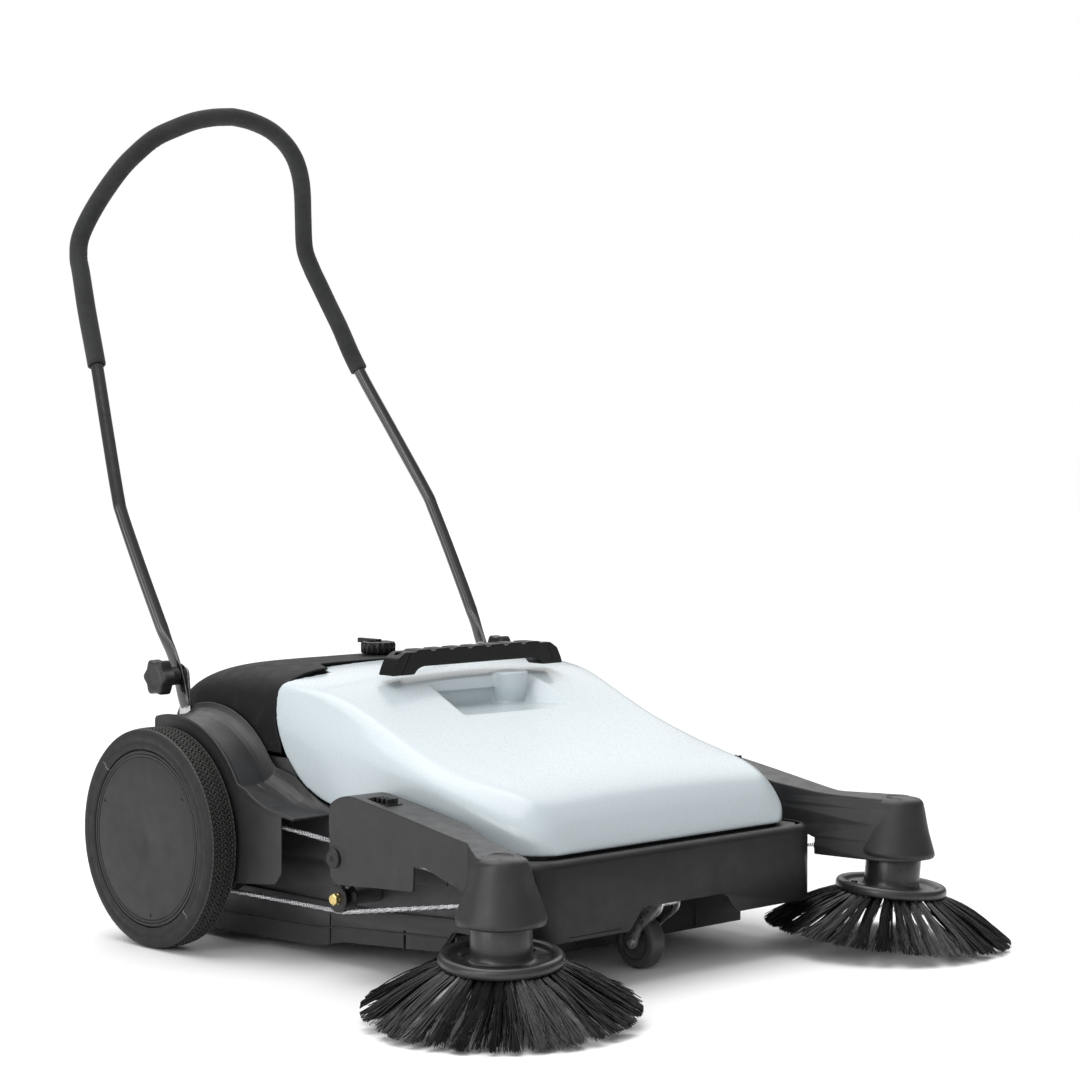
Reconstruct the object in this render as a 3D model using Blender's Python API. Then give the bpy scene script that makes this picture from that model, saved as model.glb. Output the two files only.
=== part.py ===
"""Walk-behind sweeper with a main broom, two belt-driven side brooms, a lift-out
hopper and a folding push handle.

Units are metres, +Z is up, the machine drives towards -Y and X = 0 is its plane
of symmetry.  All shapes are written around the wheel axle (Y = 0 there) and hang
under one empty, which moves the axle to its place in the finished part's frame.
The machine's right-hand side is the -X side.
"""
import math
import bpy
import bmesh
from mathutils import Matrix, Vector

# ------------------------------------------------------------------ driving sizes
AXLE_Y = 0.181139           # the axle lies this far behind the middle of the length
GAP = 0.0003               # assembly gap between touching pieces

WHEEL_R = 0.130            # rear wheel radius, also the axle height
WHEEL_OUT = 0.343          # outer face of the wheels
WHEEL_IN = 0.302           # inner face of the tyres
DISC_R = 0.1036            # radius of the flat disc in the wheel
HUB_R = 0.020
AXLE_R = 0.010

FRAME_X0, FRAME_X1 = 0.2305, 0.2345     # side frame plates

MODULE = 0.004             # drive gear module
GEAR_N, PINION_N = 26, 12
GEAR_X0, GEAR_X1 = 0.2385, 0.2485
BROOM_Y, BROOM_Z = -0.0753, 0.1197      # main broom axis
BROOM_R = 0.1182
BROOM_HALF = 0.2180

BELT_X = 0.285             # plane of the belt run on the broom pulley
BELT_R = 0.003
PULLEY_R = 0.0465          # belt line radius on the broom pulley
BRUSH_PULLEY_R = 0.029     # belt line radius on the side broom pulley
IDLER_Y, IDLER_Z, IDLER_R = -0.2965, 0.0905, 0.0155

SIDE_X, SIDE_Y, SIDE_Z = 0.3110, -0.5850, 0.0140   # side broom tip plane centre
TILT = math.radians(5.0)   # side broom axis leans forward and outward
TIP_R = 0.146
PLATE_R = 0.065
PULLEY_H = 0.1155          # pulley height above the tip plane
PIVOT_Y, PIVOT_Z = -0.302, 0.137        # arm pivot

HINGE_Y, HINGE_Z = 0.058, 0.3125        # handle hinge
TUBE_R = 0.0080
FOAM_R = 0.0118

KNOB_Y = -0.020            # height knob
CAM_E = 0.0035             # eccentricity of its cam

CASTER_Y, CASTER_TRAIL, CASTER_R = -0.514, 0.034, 0.031

# ------------------------------------------------------------------ start empty
for ob in list(bpy.data.objects):
    bpy.data.objects.remove(ob, do_unlink=True)

ROOT = bpy.data.objects.new("sweeper", None)
ROOT.location = (0.0, AXLE_Y, 0.0)
bpy.context.scene.collection.objects.link(ROOT)


def pivot(name, loc):
    e = bpy.data.objects.new(name, None)
    e.location = loc
    e.parent = ROOT
    bpy.context.scene.collection.objects.link(e)
    return e


MATS = {}


def mat(name, rgb, rough, metal=0.0):
    if name not in MATS:
        m = bpy.data.materials.new(name)
        m.use_nodes = True
        b = m.node_tree.nodes["Principled BSDF"]
        b.inputs["Base Color"].default_value = (*rgb, 1.0)
        b.inputs["Roughness"].default_value = rough
        b.inputs["Metallic"].default_value = metal
        m.diffuse_color = (*rgb, 1.0)
        MATS[name] = m
    return MATS[name]


GREY = mat("pale_grey_moulding", (0.70, 0.77, 0.80), 0.32)
BLACK = mat("black_moulding", (0.045, 0.045, 0.047), 0.5)
DARK = mat("dark_plastic", (0.03, 0.03, 0.032), 0.55)
RUBBER = mat("rubber", (0.02, 0.02, 0.021), 0.8)
FOAM = mat("foam", (0.05, 0.05, 0.052), 0.9)
PAINT = mat("black_paint", (0.012, 0.012, 0.013), 0.2)
STEEL = mat("bright_steel", (0.62, 0.62, 0.63), 0.3, 1.0)
BRASS = mat("brass", (0.78, 0.6, 0.25), 0.3, 1.0)
SHEET = mat("painted_sheet", (0.06, 0.06, 0.065), 0.45, 0.4)
BRISTLE = mat("bristle", (0.015, 0.015, 0.016), 0.6)


# ------------------------------------------------------------------ mesh helpers
def make(name, bm, material, parent=None, origin=(0, 0, 0), smooth=35.0):
    """Closes a bmesh into a named object whose origin is given in axle coordinates."""
    bmesh.ops.remove_doubles(bm, verts=bm.verts, dist=1e-6)
    bmesh.ops.recalc_face_normals(bm, faces=bm.faces)
    bmesh.ops.translate(bm, verts=bm.verts, vec=-Vector(origin))
    me = bpy.data.meshes.new(name)
    bm.to_mesh(me)
    bm.free()
    if smooth:
        me.shade_smooth()
        me.set_sharp_from_angle(angle=math.radians(smooth))
    me.materials.append(material)
    ob = bpy.data.objects.new(name, me)
    ob.location = Vector(origin)
    par = parent or ROOT
    ob.parent = par
    if par is not ROOT:
        ob.location = Vector(origin) - par.location
    bpy.context.scene.collection.objects.link(ob)
    return ob


def cutter(ob):
    ob.hide_render = True
    ob.display_type = 'WIRE'
    return ob


def boolean(ob, other, op='DIFFERENCE'):
    m = ob.modifiers.new(op.lower(), 'BOOLEAN')
    m.operation = op
    m.solver = 'EXACT'
    m.object = cutter(other)
    return ob


def bm_box(x0, x1, y0, y1, z0, z1):
    bm = bmesh.new()
    bmesh.ops.create_cube(bm, size=1.0)
    for v in bm.verts:
        v.co = Vector(((x0 + x1) / 2 + v.co.x * (x1 - x0),
                       (y0 + y1) / 2 + v.co.y * (y1 - y0),
                       (z0 + z1) / 2 + v.co.z * (z1 - z0)))
    return bm


def bm_loft(rings, closed=False):
    """Skins rings of points that all have the same count; caps both ends unless closed."""
    bm = bmesh.new()
    rows = [[bm.verts.new(p) for p in r] for r in rings]
    n = len(rows[0])
    last = len(rows) if closed else len(rows) - 1
    for i in range(last):
        a, b = rows[i], rows[(i + 1) % len(rows)]
        for j in range(n):
            k = (j + 1) % n
            bm.faces.new((a[j], a[k], b[k], b[j]))
    if not closed:
        bm.faces.new(rows[0][::-1])
        bm.faces.new(rows[-1])
    return bm


def bm_prism_x(pts, x0, x1):
    return bm_loft([[(x0, y, z) for y, z in pts], [(x1, y, z) for y, z in pts]])


def bm_prism_z(pts, z0, z1):
    return bm_loft([[(x, y, z0) for x, y in pts], [(x, y, z1) for x, y in pts]])


def frame_of(axis):
    """Two unit vectors at right angles to an axis."""
    a = Vector(axis).normalized()
    u = Vector((0, 1, 0)) if abs(a.y) < 0.9 else Vector((1, 0, 0))
    u = (u - a * u.dot(a)).normalized()
    return a, u, a.cross(u)


def bm_turn(profile, centre, axis, n=32):
    """Turns a closed (radius, height) outline about an axis. Radius 0 is a pole."""
    a, u, w = frame_of(axis)
    c = Vector(centre)
    bm = bmesh.new()
    cols = []
    for r, h in profile:
        if r < 1e-7:
            cols.append([bm.verts.new(c + a * h)])
        else:
            cols.append([bm.verts.new(c + a * h + (u * math.cos(t) + w * math.sin(t)) * r)
                         for t in (2 * math.pi * i / n for i in range(n))])
    m = len(cols)
    for i in range(m):
        p, q = cols[i], cols[(i + 1) % m]
        if len(p) == 1 and len(q) == 1:
            continue
        for j in range(n):
            k = (j + 1) % n
            if len(p) == 1:
                bm.faces.new((p[0], q[k], q[j]))
            elif len(q) == 1:
                bm.faces.new((p[j], p[k], q[0]))
            else:
                bm.faces.new((p[j], p[k], q[k], q[j]))
    return bm


def bm_cyl(p0, p1, r, n=20):
    p0, p1 = Vector(p0), Vector(p1)
    L = (p1 - p0).length
    return bm_turn([(0, 0), (r, 0), (r, L), (0, L)], p0, p1 - p0, n)


def bm_star(fn_rows, centre, axis, angles):
    """Stacks rings along an axis; every row is (height, radius function of angle)."""
    a, u, w = frame_of(axis)
    c = Vector(centre)
    rings = []
    for h, fn in fn_rows:
        rings.append([c + a * h + (u * math.cos(t) + w * math.sin(t)) * fn(t) for t in angles])
    return bm_loft(rings)


def bm_sweep(points, radii, n=12, closed=False, lead=(1, 0, 0)):
    """Sweeps an ellipse along points. radii gives (half width along lead, half width across)."""
    pts = [Vector(p) for p in points]
    m = len(pts)
    rings = []
    normal = None
    for i, p in enumerate(pts):
        if closed:
            t = (pts[(i + 1) % m] - pts[i - 1]).normalized()
        else:
            t = (pts[min(i + 1, m - 1)] - pts[max(i - 1, 0)]).normalized()
        if normal is None:
            normal = Vector(lead)
        normal = (normal - t * normal.dot(t)).normalized()
        side = t.cross(normal)
        a, b = radii[i] if isinstance(radii, list) else (radii, radii)
        rings.append([p + normal * (a * math.cos(q)) + side * (b * math.sin(q))
                      for q in (2 * math.pi * j / n for j in range(n))])
    return bm_loft(rings, closed)


def smooth_path(pts, per=6):
    """Catmull-Rom curve through points."""
    P = [Vector(p) for p in pts]
    out = []
    for i in range(len(P) - 1):
        a = P[i - 1] if i else P[0] * 2 - P[1]
        b, c = P[i], P[i + 1]
        d = P[i + 2] if i + 2 < len(P) else P[-1] * 2 - P[-2]
        for k in range(per):
            t = k / per
            out.append(0.5 * ((2 * b) + (c - a) * t + (2 * a - 5 * b + 4 * c - d) * t * t
                              + (3 * b - a - 3 * c + d) * t ** 3))
    out.append(P[-1])
    return out


def arc(cy, cz, r, a0, a1, n):
    return [(cy + r * math.cos(math.radians(a0 + (a1 - a0) * i / n)),
             cz + r * math.sin(math.radians(a0 + (a1 - a0) * i / n))) for i in range(n + 1)]


def lerp_table(rows, y):
    """Linear interpolation in rows of (y, a, b, ...) sorted by falling y."""
    if y >= rows[0][0]:
        return rows[0][1:]
    for p, q in zip(rows, rows[1:]):
        if y >= q[0]:
            t = (p[0] - y) / (p[0] - q[0])
            return tuple(a + (b - a) * t for a, b in zip(p[1:], q[1:]))
    return rows[-1][1:]


SIDES = (("right", -1), ("left", 1))

# ------------------------------------------------------------------ chassis
FRAME_OUT = [(-0.500, 0.064), (-0.500, 0.1465), (-0.228, 0.1465), (-0.228, 0.1720), (-0.215, 0.1775),
             (-0.1928, 0.1835), (-0.1770, 0.1905), (-0.1642, 0.1985), (-0.1477, 0.2125), (-0.1347, 0.228),
             (0.088, 0.228), (0.088, 0.045), (-0.410, 0.045), (-0.430, 0.064)]
SKIRT_OUT = [(-0.500, 0.0645), (-0.500, 0.078), (-0.425, 0.078), (-0.300, 0.070), (0.085, 0.070),
             (0.085, 0.010), (-0.010, 0.010), (-0.195, 0.0165), (-0.240, 0.027),
             (-0.405, 0.039), (-0.428, 0.0645)]


def side_frames():
    for side, s in SIDES:
        ob = make(f"{side}_side_frame", bm_prism_x(FRAME_OUT, s * FRAME_X0, s * FRAME_X1), SHEET)
        boolean(ob, make(f"cut_{side}_axle", bm_cyl((s * 0.22, 0, WHEEL_R), (s * 0.25, 0, WHEEL_R),
                                                     AXLE_R + GAP, 24), SHEET))
        boolean(ob, make(f"cut_{side}_shaft", bm_cyl((s * 0.22, BROOM_Y, BROOM_Z + 0.002),
                                                      (s * 0.25, BROOM_Y, BROOM_Z + 0.002),
                                                      0.0115, 24), SHEET))
        make(f"{side}_side_skirt", bm_prism_x(SKIRT_OUT, s * (FRAME_X1 + GAP), s * 0.2378), BLACK)
        make(f"{side}_axle_stub", bm_cyl((s * 0.2215, 0, WHEEL_R), (s * 0.3365, 0, WHEEL_R),
                                         AXLE_R, 24), STEEL)


def u_outline(half, front, back, r, n=6):
    """Plan outline of a beam that wraps both front corners, outer side then inner side."""
    t = 0.004
    out = [(half, back)]
    out += [(half - r + r * math.cos(a), front + r + r * math.sin(a))
            for a in (-math.pi / 2 * i / n for i in range(n + 1))]
    out += [(-(half - r) + r * math.cos(a), front + r + r * math.sin(a))
            for a in (-math.pi / 2 - math.pi / 2 * i / n for i in range(n + 1))]
    out += [(-half, back)]
    ri = r - t
    inn = [(-(half - t), back)]
    inn += [(-(half - r) + ri * math.cos(a), front + r + ri * math.sin(a))
            for a in (-math.pi + math.pi / 2 * i / n for i in range(n + 1))]
    inn += [((half - r) + ri * math.cos(a), front + r + ri * math.sin(a))
            for a in (-math.pi / 2 + math.pi / 2 * i / n for i in range(n + 1))]
    inn += [(half - t, back)]
    return out + inn


def front_end():
    ob = make("front_bumper", bm_prism_z(u_outline(0.230, -0.550, -0.455, 0.035), 0.062, 0.150), BLACK)
    notch = [(-0.088, 0.050), (-0.088, 0.062), (-0.070, 0.080), (-0.066, 0.086),
             (0.066, 0.086), (0.070, 0.080), (0.088, 0.062), (0.088, 0.050)]
    bm = bm_loft([[(x, -0.56, z) for x, z in notch], [(x, -0.54, z) for x, z in notch]])
    boolean(ob, make("cut_bumper_notch", bm, BLACK))
    beam = make("front_crossmember",
         bm_prism_z([(-0.2255, -0.484), (-0.2255, -0.515), (-0.190, -0.5457),
                     (0.190, -0.5457), (0.2255, -0.515), (0.2255, -0.484)], 0.0935, 0.1475), SHEET)
    # pressed channel, open towards the rear
    boolean(beam, cutter(make("beam_inside",
         bm_prism_z([(-0.2225, -0.480), (-0.2225, -0.5135), (-0.1888, -0.5427),
                     (0.1888, -0.5427), (0.2225, -0.5135), (0.2225, -0.480)], 0.0965, 0.1445), SHEET)))
    make("front_skirt", bm_box(-0.2300, 0.2300, -0.4250, -0.4220, 0.018, 0.0575), BLACK)
    make("rear_panel", bm_box(-0.2300, 0.2300, 0.0800, 0.0835, 0.030, 0.224), SHEET)
    make("rear_flap", bm_box(-0.2250, 0.2250, 0.0838, 0.0868, 0.006, 0.060), RUBBER)


# Outer surface of the rear cover: half width, top height and squareness along Y
REAR_ROWS = [(0.197, 0.050, 0.205, 3.2), (0.190, 0.105, 0.236, 3.3), (0.172, 0.158, 0.268, 3.6),
             (0.145, 0.194, 0.292, 4.0), (0.110, 0.217, 0.3095, 4.6), (0.070, 0.230, 0.3205, 5.2),
             (0.025, 0.237, 0.3265, 5.8), (-0.030, 0.240, 0.3290, 6.0), (-0.118, 0.240, 0.3300, 6.0)]


def rear_section(y, inset=0.0, n=20, base=0.09):
    w, zt, p = lerp_table(REAR_ROWS, y)
    w, zt = w - inset, zt - inset
    zb = 0.195
    pts = []
    for i in range(n + 1):
        a = math.pi * i / n
        cx, sz = math.cos(a), math.sin(a)
        x = w * math.copysign(abs(cx) ** (2 / p), cx)
        z = zb + (zt - zb) * abs(sz) ** (2 / p)
        pts.append((x, y, z))
    return [(w, y, base)] + pts + [(-w, y, base)]


def arc_edge(r):
    """The rounded rear lower corner of the hopper cover, seen from the side."""
    return arc(-0.235, 0.300, r, -5, -80, 8)


def rear_cover():
    ys = [0.197, 0.190, 0.172, 0.145, 0.110, 0.070, 0.025, -0.030, -0.125]
    ob = make("rear_cover", bm_loft([rear_section(y) for y in ys]), BLACK)
    yi = [0.193, 0.186, 0.169, 0.142, 0.107, 0.067, 0.022, -0.030, -0.135]
    inner = make("cut_rear_inner",
                 bm_loft([rear_section(min(y + 0.003, 0.197), 0.003, base=0.07) for y in yi[:1]] +
                         [[(x, y, z) for x, _, z in rear_section(y + 0.002, 0.003, base=0.07)]
                          for y in yi[1:]]), BLACK)
    boolean(ob, inner)
    low = arc(-0.235, 0.300, 0.1218, -5, -34, 4)
    keep = [(-0.1136, 0.37)] + low + [(-0.110, 0.2335), (0.094, 0.2335), (0.100, 0.105),
                                      (0.25, 0.105), (0.25, 0.37)]
    boolean(ob, make("keep_rear", bm_prism_x(keep, -0.27, 0.27), BLACK), 'INTERSECT')
    tongue = [(-0.157, -0.20), (-0.157, -0.1136), (-0.1370, -0.0735), (0.1370, -0.0735),
              (0.157, -0.1136), (0.157, -0.20)]
    boolean(ob, make("cut_rear_tongue", bm_prism_z(tongue, 0.28, 0.40), BLACK))
    boolean(ob, make("cut_rear_spindle", bm_cyl((0, KNOB_Y, 0.30), (0, KNOB_Y, 0.36), 0.0052, 16), BLACK))


def fenders():
    zw = WHEEL_R
    outer = [(-0.226, 0.173), (-0.203, 0.1752), (-0.176, 0.1795), (-0.152, 0.1890)]
    top = [(y, z) for y, z in arc(0, zw, 0.142, 151, 74, 18)]
    inner = [(y, z) for y, z in arc(0, zw, 0.1388, 74, 151.5, 18)]
    low = [(-0.150, 0.1858), (-0.176, 0.1762), (-0.203, 0.1720), (-0.226, 0.1698)]
    band = outer + top + inner + low
    wall = [(-0.204, 0.1708), (-0.204, 0.108), (-0.192, 0.094), (-0.110, 0.086), (-0.075, 0.030),
            (0.020, 0.030), (0.0385, 0.080)] + arc(0, zw, 0.1405, 74, 151.5, 16) + \
           [(-0.150, 0.1866), (-0.176, 0.1774)]
    for side, s in SIDES:
        ob = make(f"{side}_fender", bm_prism_x(band, s * 0.2480, s * 0.2995), BLACK)
        boolean(ob, make(f"add_{side}_wall", bm_prism_x(wall, s * 0.2962, s * 0.2990), BLACK), 'UNION')
        boolean(ob, make(f"add_{side}_shelf",
                         bm_box(*sorted((s * 0.2349, s * 0.2600)), -0.2255, -0.2010, 0.1702, 0.1726), BLACK),
                'UNION')
        boolean(ob, make(f"cut_{side}_hub", bm_cyl((s * 0.29, 0, zw), (s * 0.305, 0, zw), 0.0245, 28),
                         BLACK))


def handle_brackets():
    for side, s in SIDES:
        ang = [math.radians(180 - 180 * i / 10) for i in range(11)]
        pts = [(0.030, 0.205), (0.0405, 0.285)] + \
              [(HINGE_Y + 0.0145 * math.cos(a), HINGE_Z + 0.0145 * math.sin(a)) for a in ang] + \
              [(0.0610, 0.285), (0.060, 0.205)]
        ob = make(f"{side}_handle_bracket", bm_prism_x(pts, s * 0.2440, s * 0.2470), STEEL)
        boolean(ob, make(f"add_{side}_foot", bm_box(*sorted((s * 0.2348, s * 0.2455)), 0.032, 0.058,
                                                    0.206, 0.2255), STEEL), 'UNION')
        boolean(ob, make(f"cut_{side}_bolt", bm_cyl((s * 0.24, HINGE_Y, HINGE_Z),
                                                    (s * 0.25, HINGE_Y, HINGE_Z), 0.0043, 16), STEEL))


def pins():
    for side, s in SIDES:
        make(f"{side}_arm_pin", bm_turn([(0, 0), (0.006, 0), (0.006, 0.0665), (0.0105, 0.0665),
                                         (0.0105, 0.0700), (0, 0.0700)],
                                        (s * (FRAME_X1 + GAP), PIVOT_Y, PIVOT_Z), (s, 0, 0), 20), STEEL)
        make(f"{side}_idler_bolt", bm_turn([(0, 0), (0.0095, 0), (0.0095, 0.0395), (0.004, 0.0395),
                                            (0.004, 0.0600), (0.0065, 0.0600), (0.0065, 0.0655),
                                            (0, 0.0655)],
                                           (s * (FRAME_X1 + GAP), IDLER_Y, IDLER_Z), (s, 0, 0), 20), BRASS)


# ------------------------------------------------------------------ side broom drive
AXES = {s: Vector((s * math.sin(TILT) * math.sqrt(0.5), -math.sin(TILT) * math.sqrt(0.5), math.cos(TILT)))
        for s in (-1, 1)}      # broom axis, pointing up


def broom_point(s, h):
    return Vector((s * SIDE_X, SIDE_Y, SIDE_Z)) + AXES[s] * h


def belt_path(s):
    pts = [(s * BELT_X, y, z) for y, z in arc(BROOM_Y, BROOM_Z, PULLEY_R, 93, -89, 13)]
    pts += [(s * BELT_X, y, z) for y, z in arc(IDLER_Y, IDLER_Z, IDLER_R, -90, -101, 2)]
    c = broom_point(s, PULLEY_H)
    out = Vector((s, 0, 0))
    out = (out - AXES[s] * AXES[s].dot(out)).normalized()
    fwd = AXES[s].cross(out) * -s
    for i in range(12):
        a = math.radians(-4 + 184 * i / 11)
        pts.append(tuple(c + out * (BRUSH_PULLEY_R * math.cos(a)) + fwd * (BRUSH_PULLEY_R * math.sin(a))))
    # points along both straight runs keep the faces even
    full = []
    m = len(pts)
    for i in range(m):
        a, b = Vector(pts[i]), Vector(pts[(i + 1) % m])
        full.append(a)
        k = int((b - a).length / 0.07)
        for j in range(1, k + 1):
            full.append(a.lerp(b, j / (k + 1)))
    return full


def belts():
    for side, s in SIDES:
        make(f"{side}_side_belt", bm_sweep(belt_path(s), BELT_R, 6, closed=True), STEEL)


def nose_ring(s, z, r, off, n=14):
    """Outline of the arm at height z: straight sides running tangent into the housing's circle."""
    lean = AXES[1] * ((z - SIDE_Z) / AXES[1].z)
    cx, cy = SIDE_X + lean.x, SIDE_Y + lean.y
    r -= off
    b = (0.300 - off, -0.5196)
    a = (0.2485 + off, -0.4624)

    def touch(p, sign):
        dx, dy = p[0] - cx, p[1] - cy
        return math.atan2(dy, dx) + sign * math.acos(r / math.hypot(dx, dy))

    a0, a1 = touch(b, -1), touch(a, 1) - 2 * math.pi
    ring = [(a[0], a[1]), (b[0], a[1]), b]
    ring += [(cx + r * math.cos(a0 + (a1 - a0) * i / n), cy + r * math.sin(a0 + (a1 - a0) * i / n))
             for i in range(n + 1)]
    return [(s * x, y, z) for x, y in ring]


NOSE = [(0.1055, 0.0472), (0.1250, 0.0415), (0.1450, 0.0358), (0.1620, 0.0312), (0.1695, 0.0285),
        (0.1730, 0.0250), (0.1748, 0.0205)]
NOSE_IN = [(0.0900, 0.0500), (0.1250, 0.0412), (0.1450, 0.0355), (0.1620, 0.0309), (0.1690, 0.0285)]


def arm_parts():
    prof = [(-0.293, 0.1145), (-0.290, 0.190), (-0.295, 0.199), (-0.307, 0.2050), (-0.3205, 0.2084),
            (-0.334, 0.2084), (-0.3855, 0.2008), (-0.4382, 0.1920), (-0.4895, 0.1832), (-0.5196, 0.1782),
            (-0.590, 0.1750), (-0.590, 0.1215), (-0.5158, 0.1249), (-0.507, 0.1280), (-0.4792, 0.1356),
            (-0.451, 0.1442), (-0.4345, 0.1430), (-0.4330, 0.1157), (-0.3825, 0.1130), (-0.306, 0.1082)]
    prof_in = [(-0.26, 0.09), (-0.26, 0.196), (-0.300, 0.1975), (-0.318, 0.2045), (-0.334, 0.2053),
               (-0.3855, 0.1977), (-0.4382, 0.1889), (-0.4895, 0.1801), (-0.5196, 0.1751),
               (-0.585, 0.1716), (-0.585, 0.09)]
    under = [(-0.45, 0.20), (-0.45, 0.1445), (-0.4792, 0.1356), (-0.507, 0.1280), (-0.5158, 0.1249),
             (-0.5175, 0.1050), (-0.70, 0.1050), (-0.70, 0.20)]
    bell = [(0, 0.1605), (0.0180, 0.1605), (0.0225, 0.1593), (0.0262, 0.1565), (0.0290, 0.1515),
            (0.0476, 0.1015), (0.0476, 0.0970), (0.0460, 0.0945), (0, 0.0945)]
    bell_in = [(0, 0.1525), (0.0245, 0.1525), (0.0432, 0.1015), (0.0432, 0.085), (0, 0.085)]
    for side, s in SIDES:
        par = pivot(f"{side}_arm_axis", (s * 0.27, PIVOT_Y, PIVOT_Z))
        org = (s * 0.27, PIVOT_Y, PIVOT_Z)
        ob = make(f"{side}_arm_cover", bm_prism_x(prof, s * 0.2400, s * 0.3700), BLACK, par, org)
        plan = [(s * 0.2485, -0.28), (s * 0.300, -0.28)] + [p[:2] for p in nose_ring(s, 0.170, 0.0262, 0.0)[2:]] + \
               [(s * 0.2485, -0.4624)]
        boolean(ob, make(f"keep_{side}_arm", bm_prism_z(plan, 0.08, 0.25), BLACK, par, org), 'INTERSECT')
        nose = make(f"add_{side}_nose", bm_loft([nose_ring(s, z, r, 0.0) for z, r in NOSE]), BLACK, par, org)
        boolean(nose, make(f"keep_{side}_nose", bm_prism_x(under, s * 0.24, s * 0.37), BLACK, par, org),
                'INTERSECT')
        boolean(ob, nose, 'UNION')
        boolean(ob, make(f"add_{side}_bell", bm_turn(bell, broom_point(s, 0), AXES[s], 26), BLACK, par, org),
                'UNION')
        boolean(ob, make(f"add_{side}_boss", bm_cyl((s * 0.2600, PIVOT_Y, PIVOT_Z),
                                                    (s * 0.3012, PIVOT_Y, PIVOT_Z), 0.0130, 24), BLACK,
                         par, org), 'UNION')
        hollow = make(f"cut_{side}_arm_inner", bm_prism_x(prof_in, s * 0.24, s * 0.37), BLACK, par, org)
        plan = [(s * 0.2513, -0.20), (s * 0.2972, -0.20)] + \
               [p[:2] for p in nose_ring(s, 0.170, 0.0262, 0.0028)[2:]] + [(s * 0.2513, -0.4624)]
        boolean(hollow, make(f"keep_{side}_inner", bm_prism_z(plan, 0.08, 0.25), BLACK, par, org), 'INTERSECT')
        boolean(hollow, make(f"add_{side}_nose_in", bm_loft([nose_ring(s, z, r, 0.0029) for z, r in NOSE_IN]),
                             BLACK, par, org), 'UNION')
        boolean(hollow, make(f"add_{side}_bell_in", bm_turn(bell_in, broom_point(s, 0), AXES[s], 26), BLACK,
                             par, org), 'UNION')
        boolean(ob, make(f"cut_{side}_pin", bm_cyl((s * 0.235, PIVOT_Y, PIVOT_Z),
                                                   (s * 0.31, PIVOT_Y, PIVOT_Z), 0.0063, 20), BLACK,
                         par, org))
        # clearance for the lower belt run where it enters the housing
        p = belt_path(s)
        c = broom_point(s, PULLEY_H)
        tan = c + Vector((s * BRUSH_PULLEY_R, 0, 0))
        start = Vector((s * BELT_X, IDLER_Y, IDLER_Z - IDLER_R))
        boolean(ob, make(f"cut_{side}_belt_slot", bm_cyl(start.lerp(tan, 0.60), tan, 0.0065, 12), BLACK,
                         par, org))
        # bearing boss under the cap carries the top of the broom spindle
        boolean(hollow, make(f"cut_{side}_bearing", bm_turn([(0.0066, 0.1345), (0.0115, 0.1345), (0.0115, 0.1575),
                                                             (0.0066, 0.1575)], broom_point(s, 0), AXES[s], 20),
                             BLACK, par, org))
        boolean(ob, hollow)

        bp = pivot(f"{side}_brush_axis", tuple(broom_point(s, 0)))
        o2 = tuple(broom_point(s, 0))
        make(f"{side}_brush_plate",
             bm_turn([(0.0063, 0.0498), (0.0640, 0.0498), (0.0654, 0.0513), (0.0654, 0.0565), (0.0635, 0.0603),
                      (0.0600, 0.0615), (0.0560, 0.0605), (0.0490, 0.0555), (0.0360, 0.0550), (0.0325, 0.0605),
                      (0.0325, 0.1025), (0.0063, 0.1025)],
                     broom_point(s, 0), AXES[s], 24), DARK, bp, o2)
        make(f"{side}_brush_bristles",
             bm_turn([(0.0500, 0.0495), (0.0640, 0.0495), (TIP_R, 0.0030), (0.1430, 0.0),
                      (0.1280, 0.0)], broom_point(s, 0), AXES[s], 32), BRISTLE, bp, o2)
        make(f"{side}_brush_pulley",
             bm_turn([(0, 0.038), (0.0060, 0.038), (0.0060, 0.1035), (0.0325, 0.1035), (0.0325, 0.1047),
                      (0.0250, 0.1123), (0.0250, 0.1187), (0.0325, 0.1263), (0.0325, 0.1275),
                      (0.0060, 0.1275), (0.0060, 0.1520), (0, 0.1520)], broom_point(s, 0), AXES[s], 20),
             DARK, bp, o2)
        ip = pivot(f"{side}_idler_axis", (s * BELT_X, IDLER_Y, IDLER_Z))
        make(f"{side}_idler_roller",
             bm_turn([(0.0044, -0.0085), (0.0165, -0.0085), (0.0165, -0.0065), (0.0121, -0.0030),
                      (0.0121, 0.0030), (0.0165, 0.0065), (0.0165, 0.0085), (0.0044, 0.0085)],
                     (s * BELT_X, IDLER_Y, IDLER_Z), (s, 0, 0), 18), DARK, ip, (s * BELT_X, IDLER_Y, IDLER_Z))


# ------------------------------------------------------------------ wheels, gears, main broom
def tooth_angles(count, pitch_r, root_r, tip_r, w_root, w_tip, phase):
    """Corner angles and radii of a spur gear outline, straight flanks."""
    out = []
    for k in range(count):
        c = phase + 2 * math.pi * k / count
        out += [(c - w_root / root_r, root_r), (c - w_tip / tip_r, tip_r),
                (c + w_tip / tip_r, tip_r), (c + w_root / root_r, root_r)]
    return out


def bm_gear(count, pitch_r, phase, bore, centre, x0, x1):
    root_r, tip_r = pitch_r - 0.0052, pitch_r + 0.0036
    corners = tooth_angles(count, pitch_r, root_r, tip_r, 0.0028, 0.0011, phase)
    cy, cz = centre
    rings = []
    for x, which in ((x0, 0), (x1, 0), (x1, 1), (x0, 1)):
        rings.append([(x, cy + (bore if which else r) * math.cos(a), cz + (bore if which else r) * math.sin(a))
                      for a, r in corners])
    return bm_loft(rings, closed=True)


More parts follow.
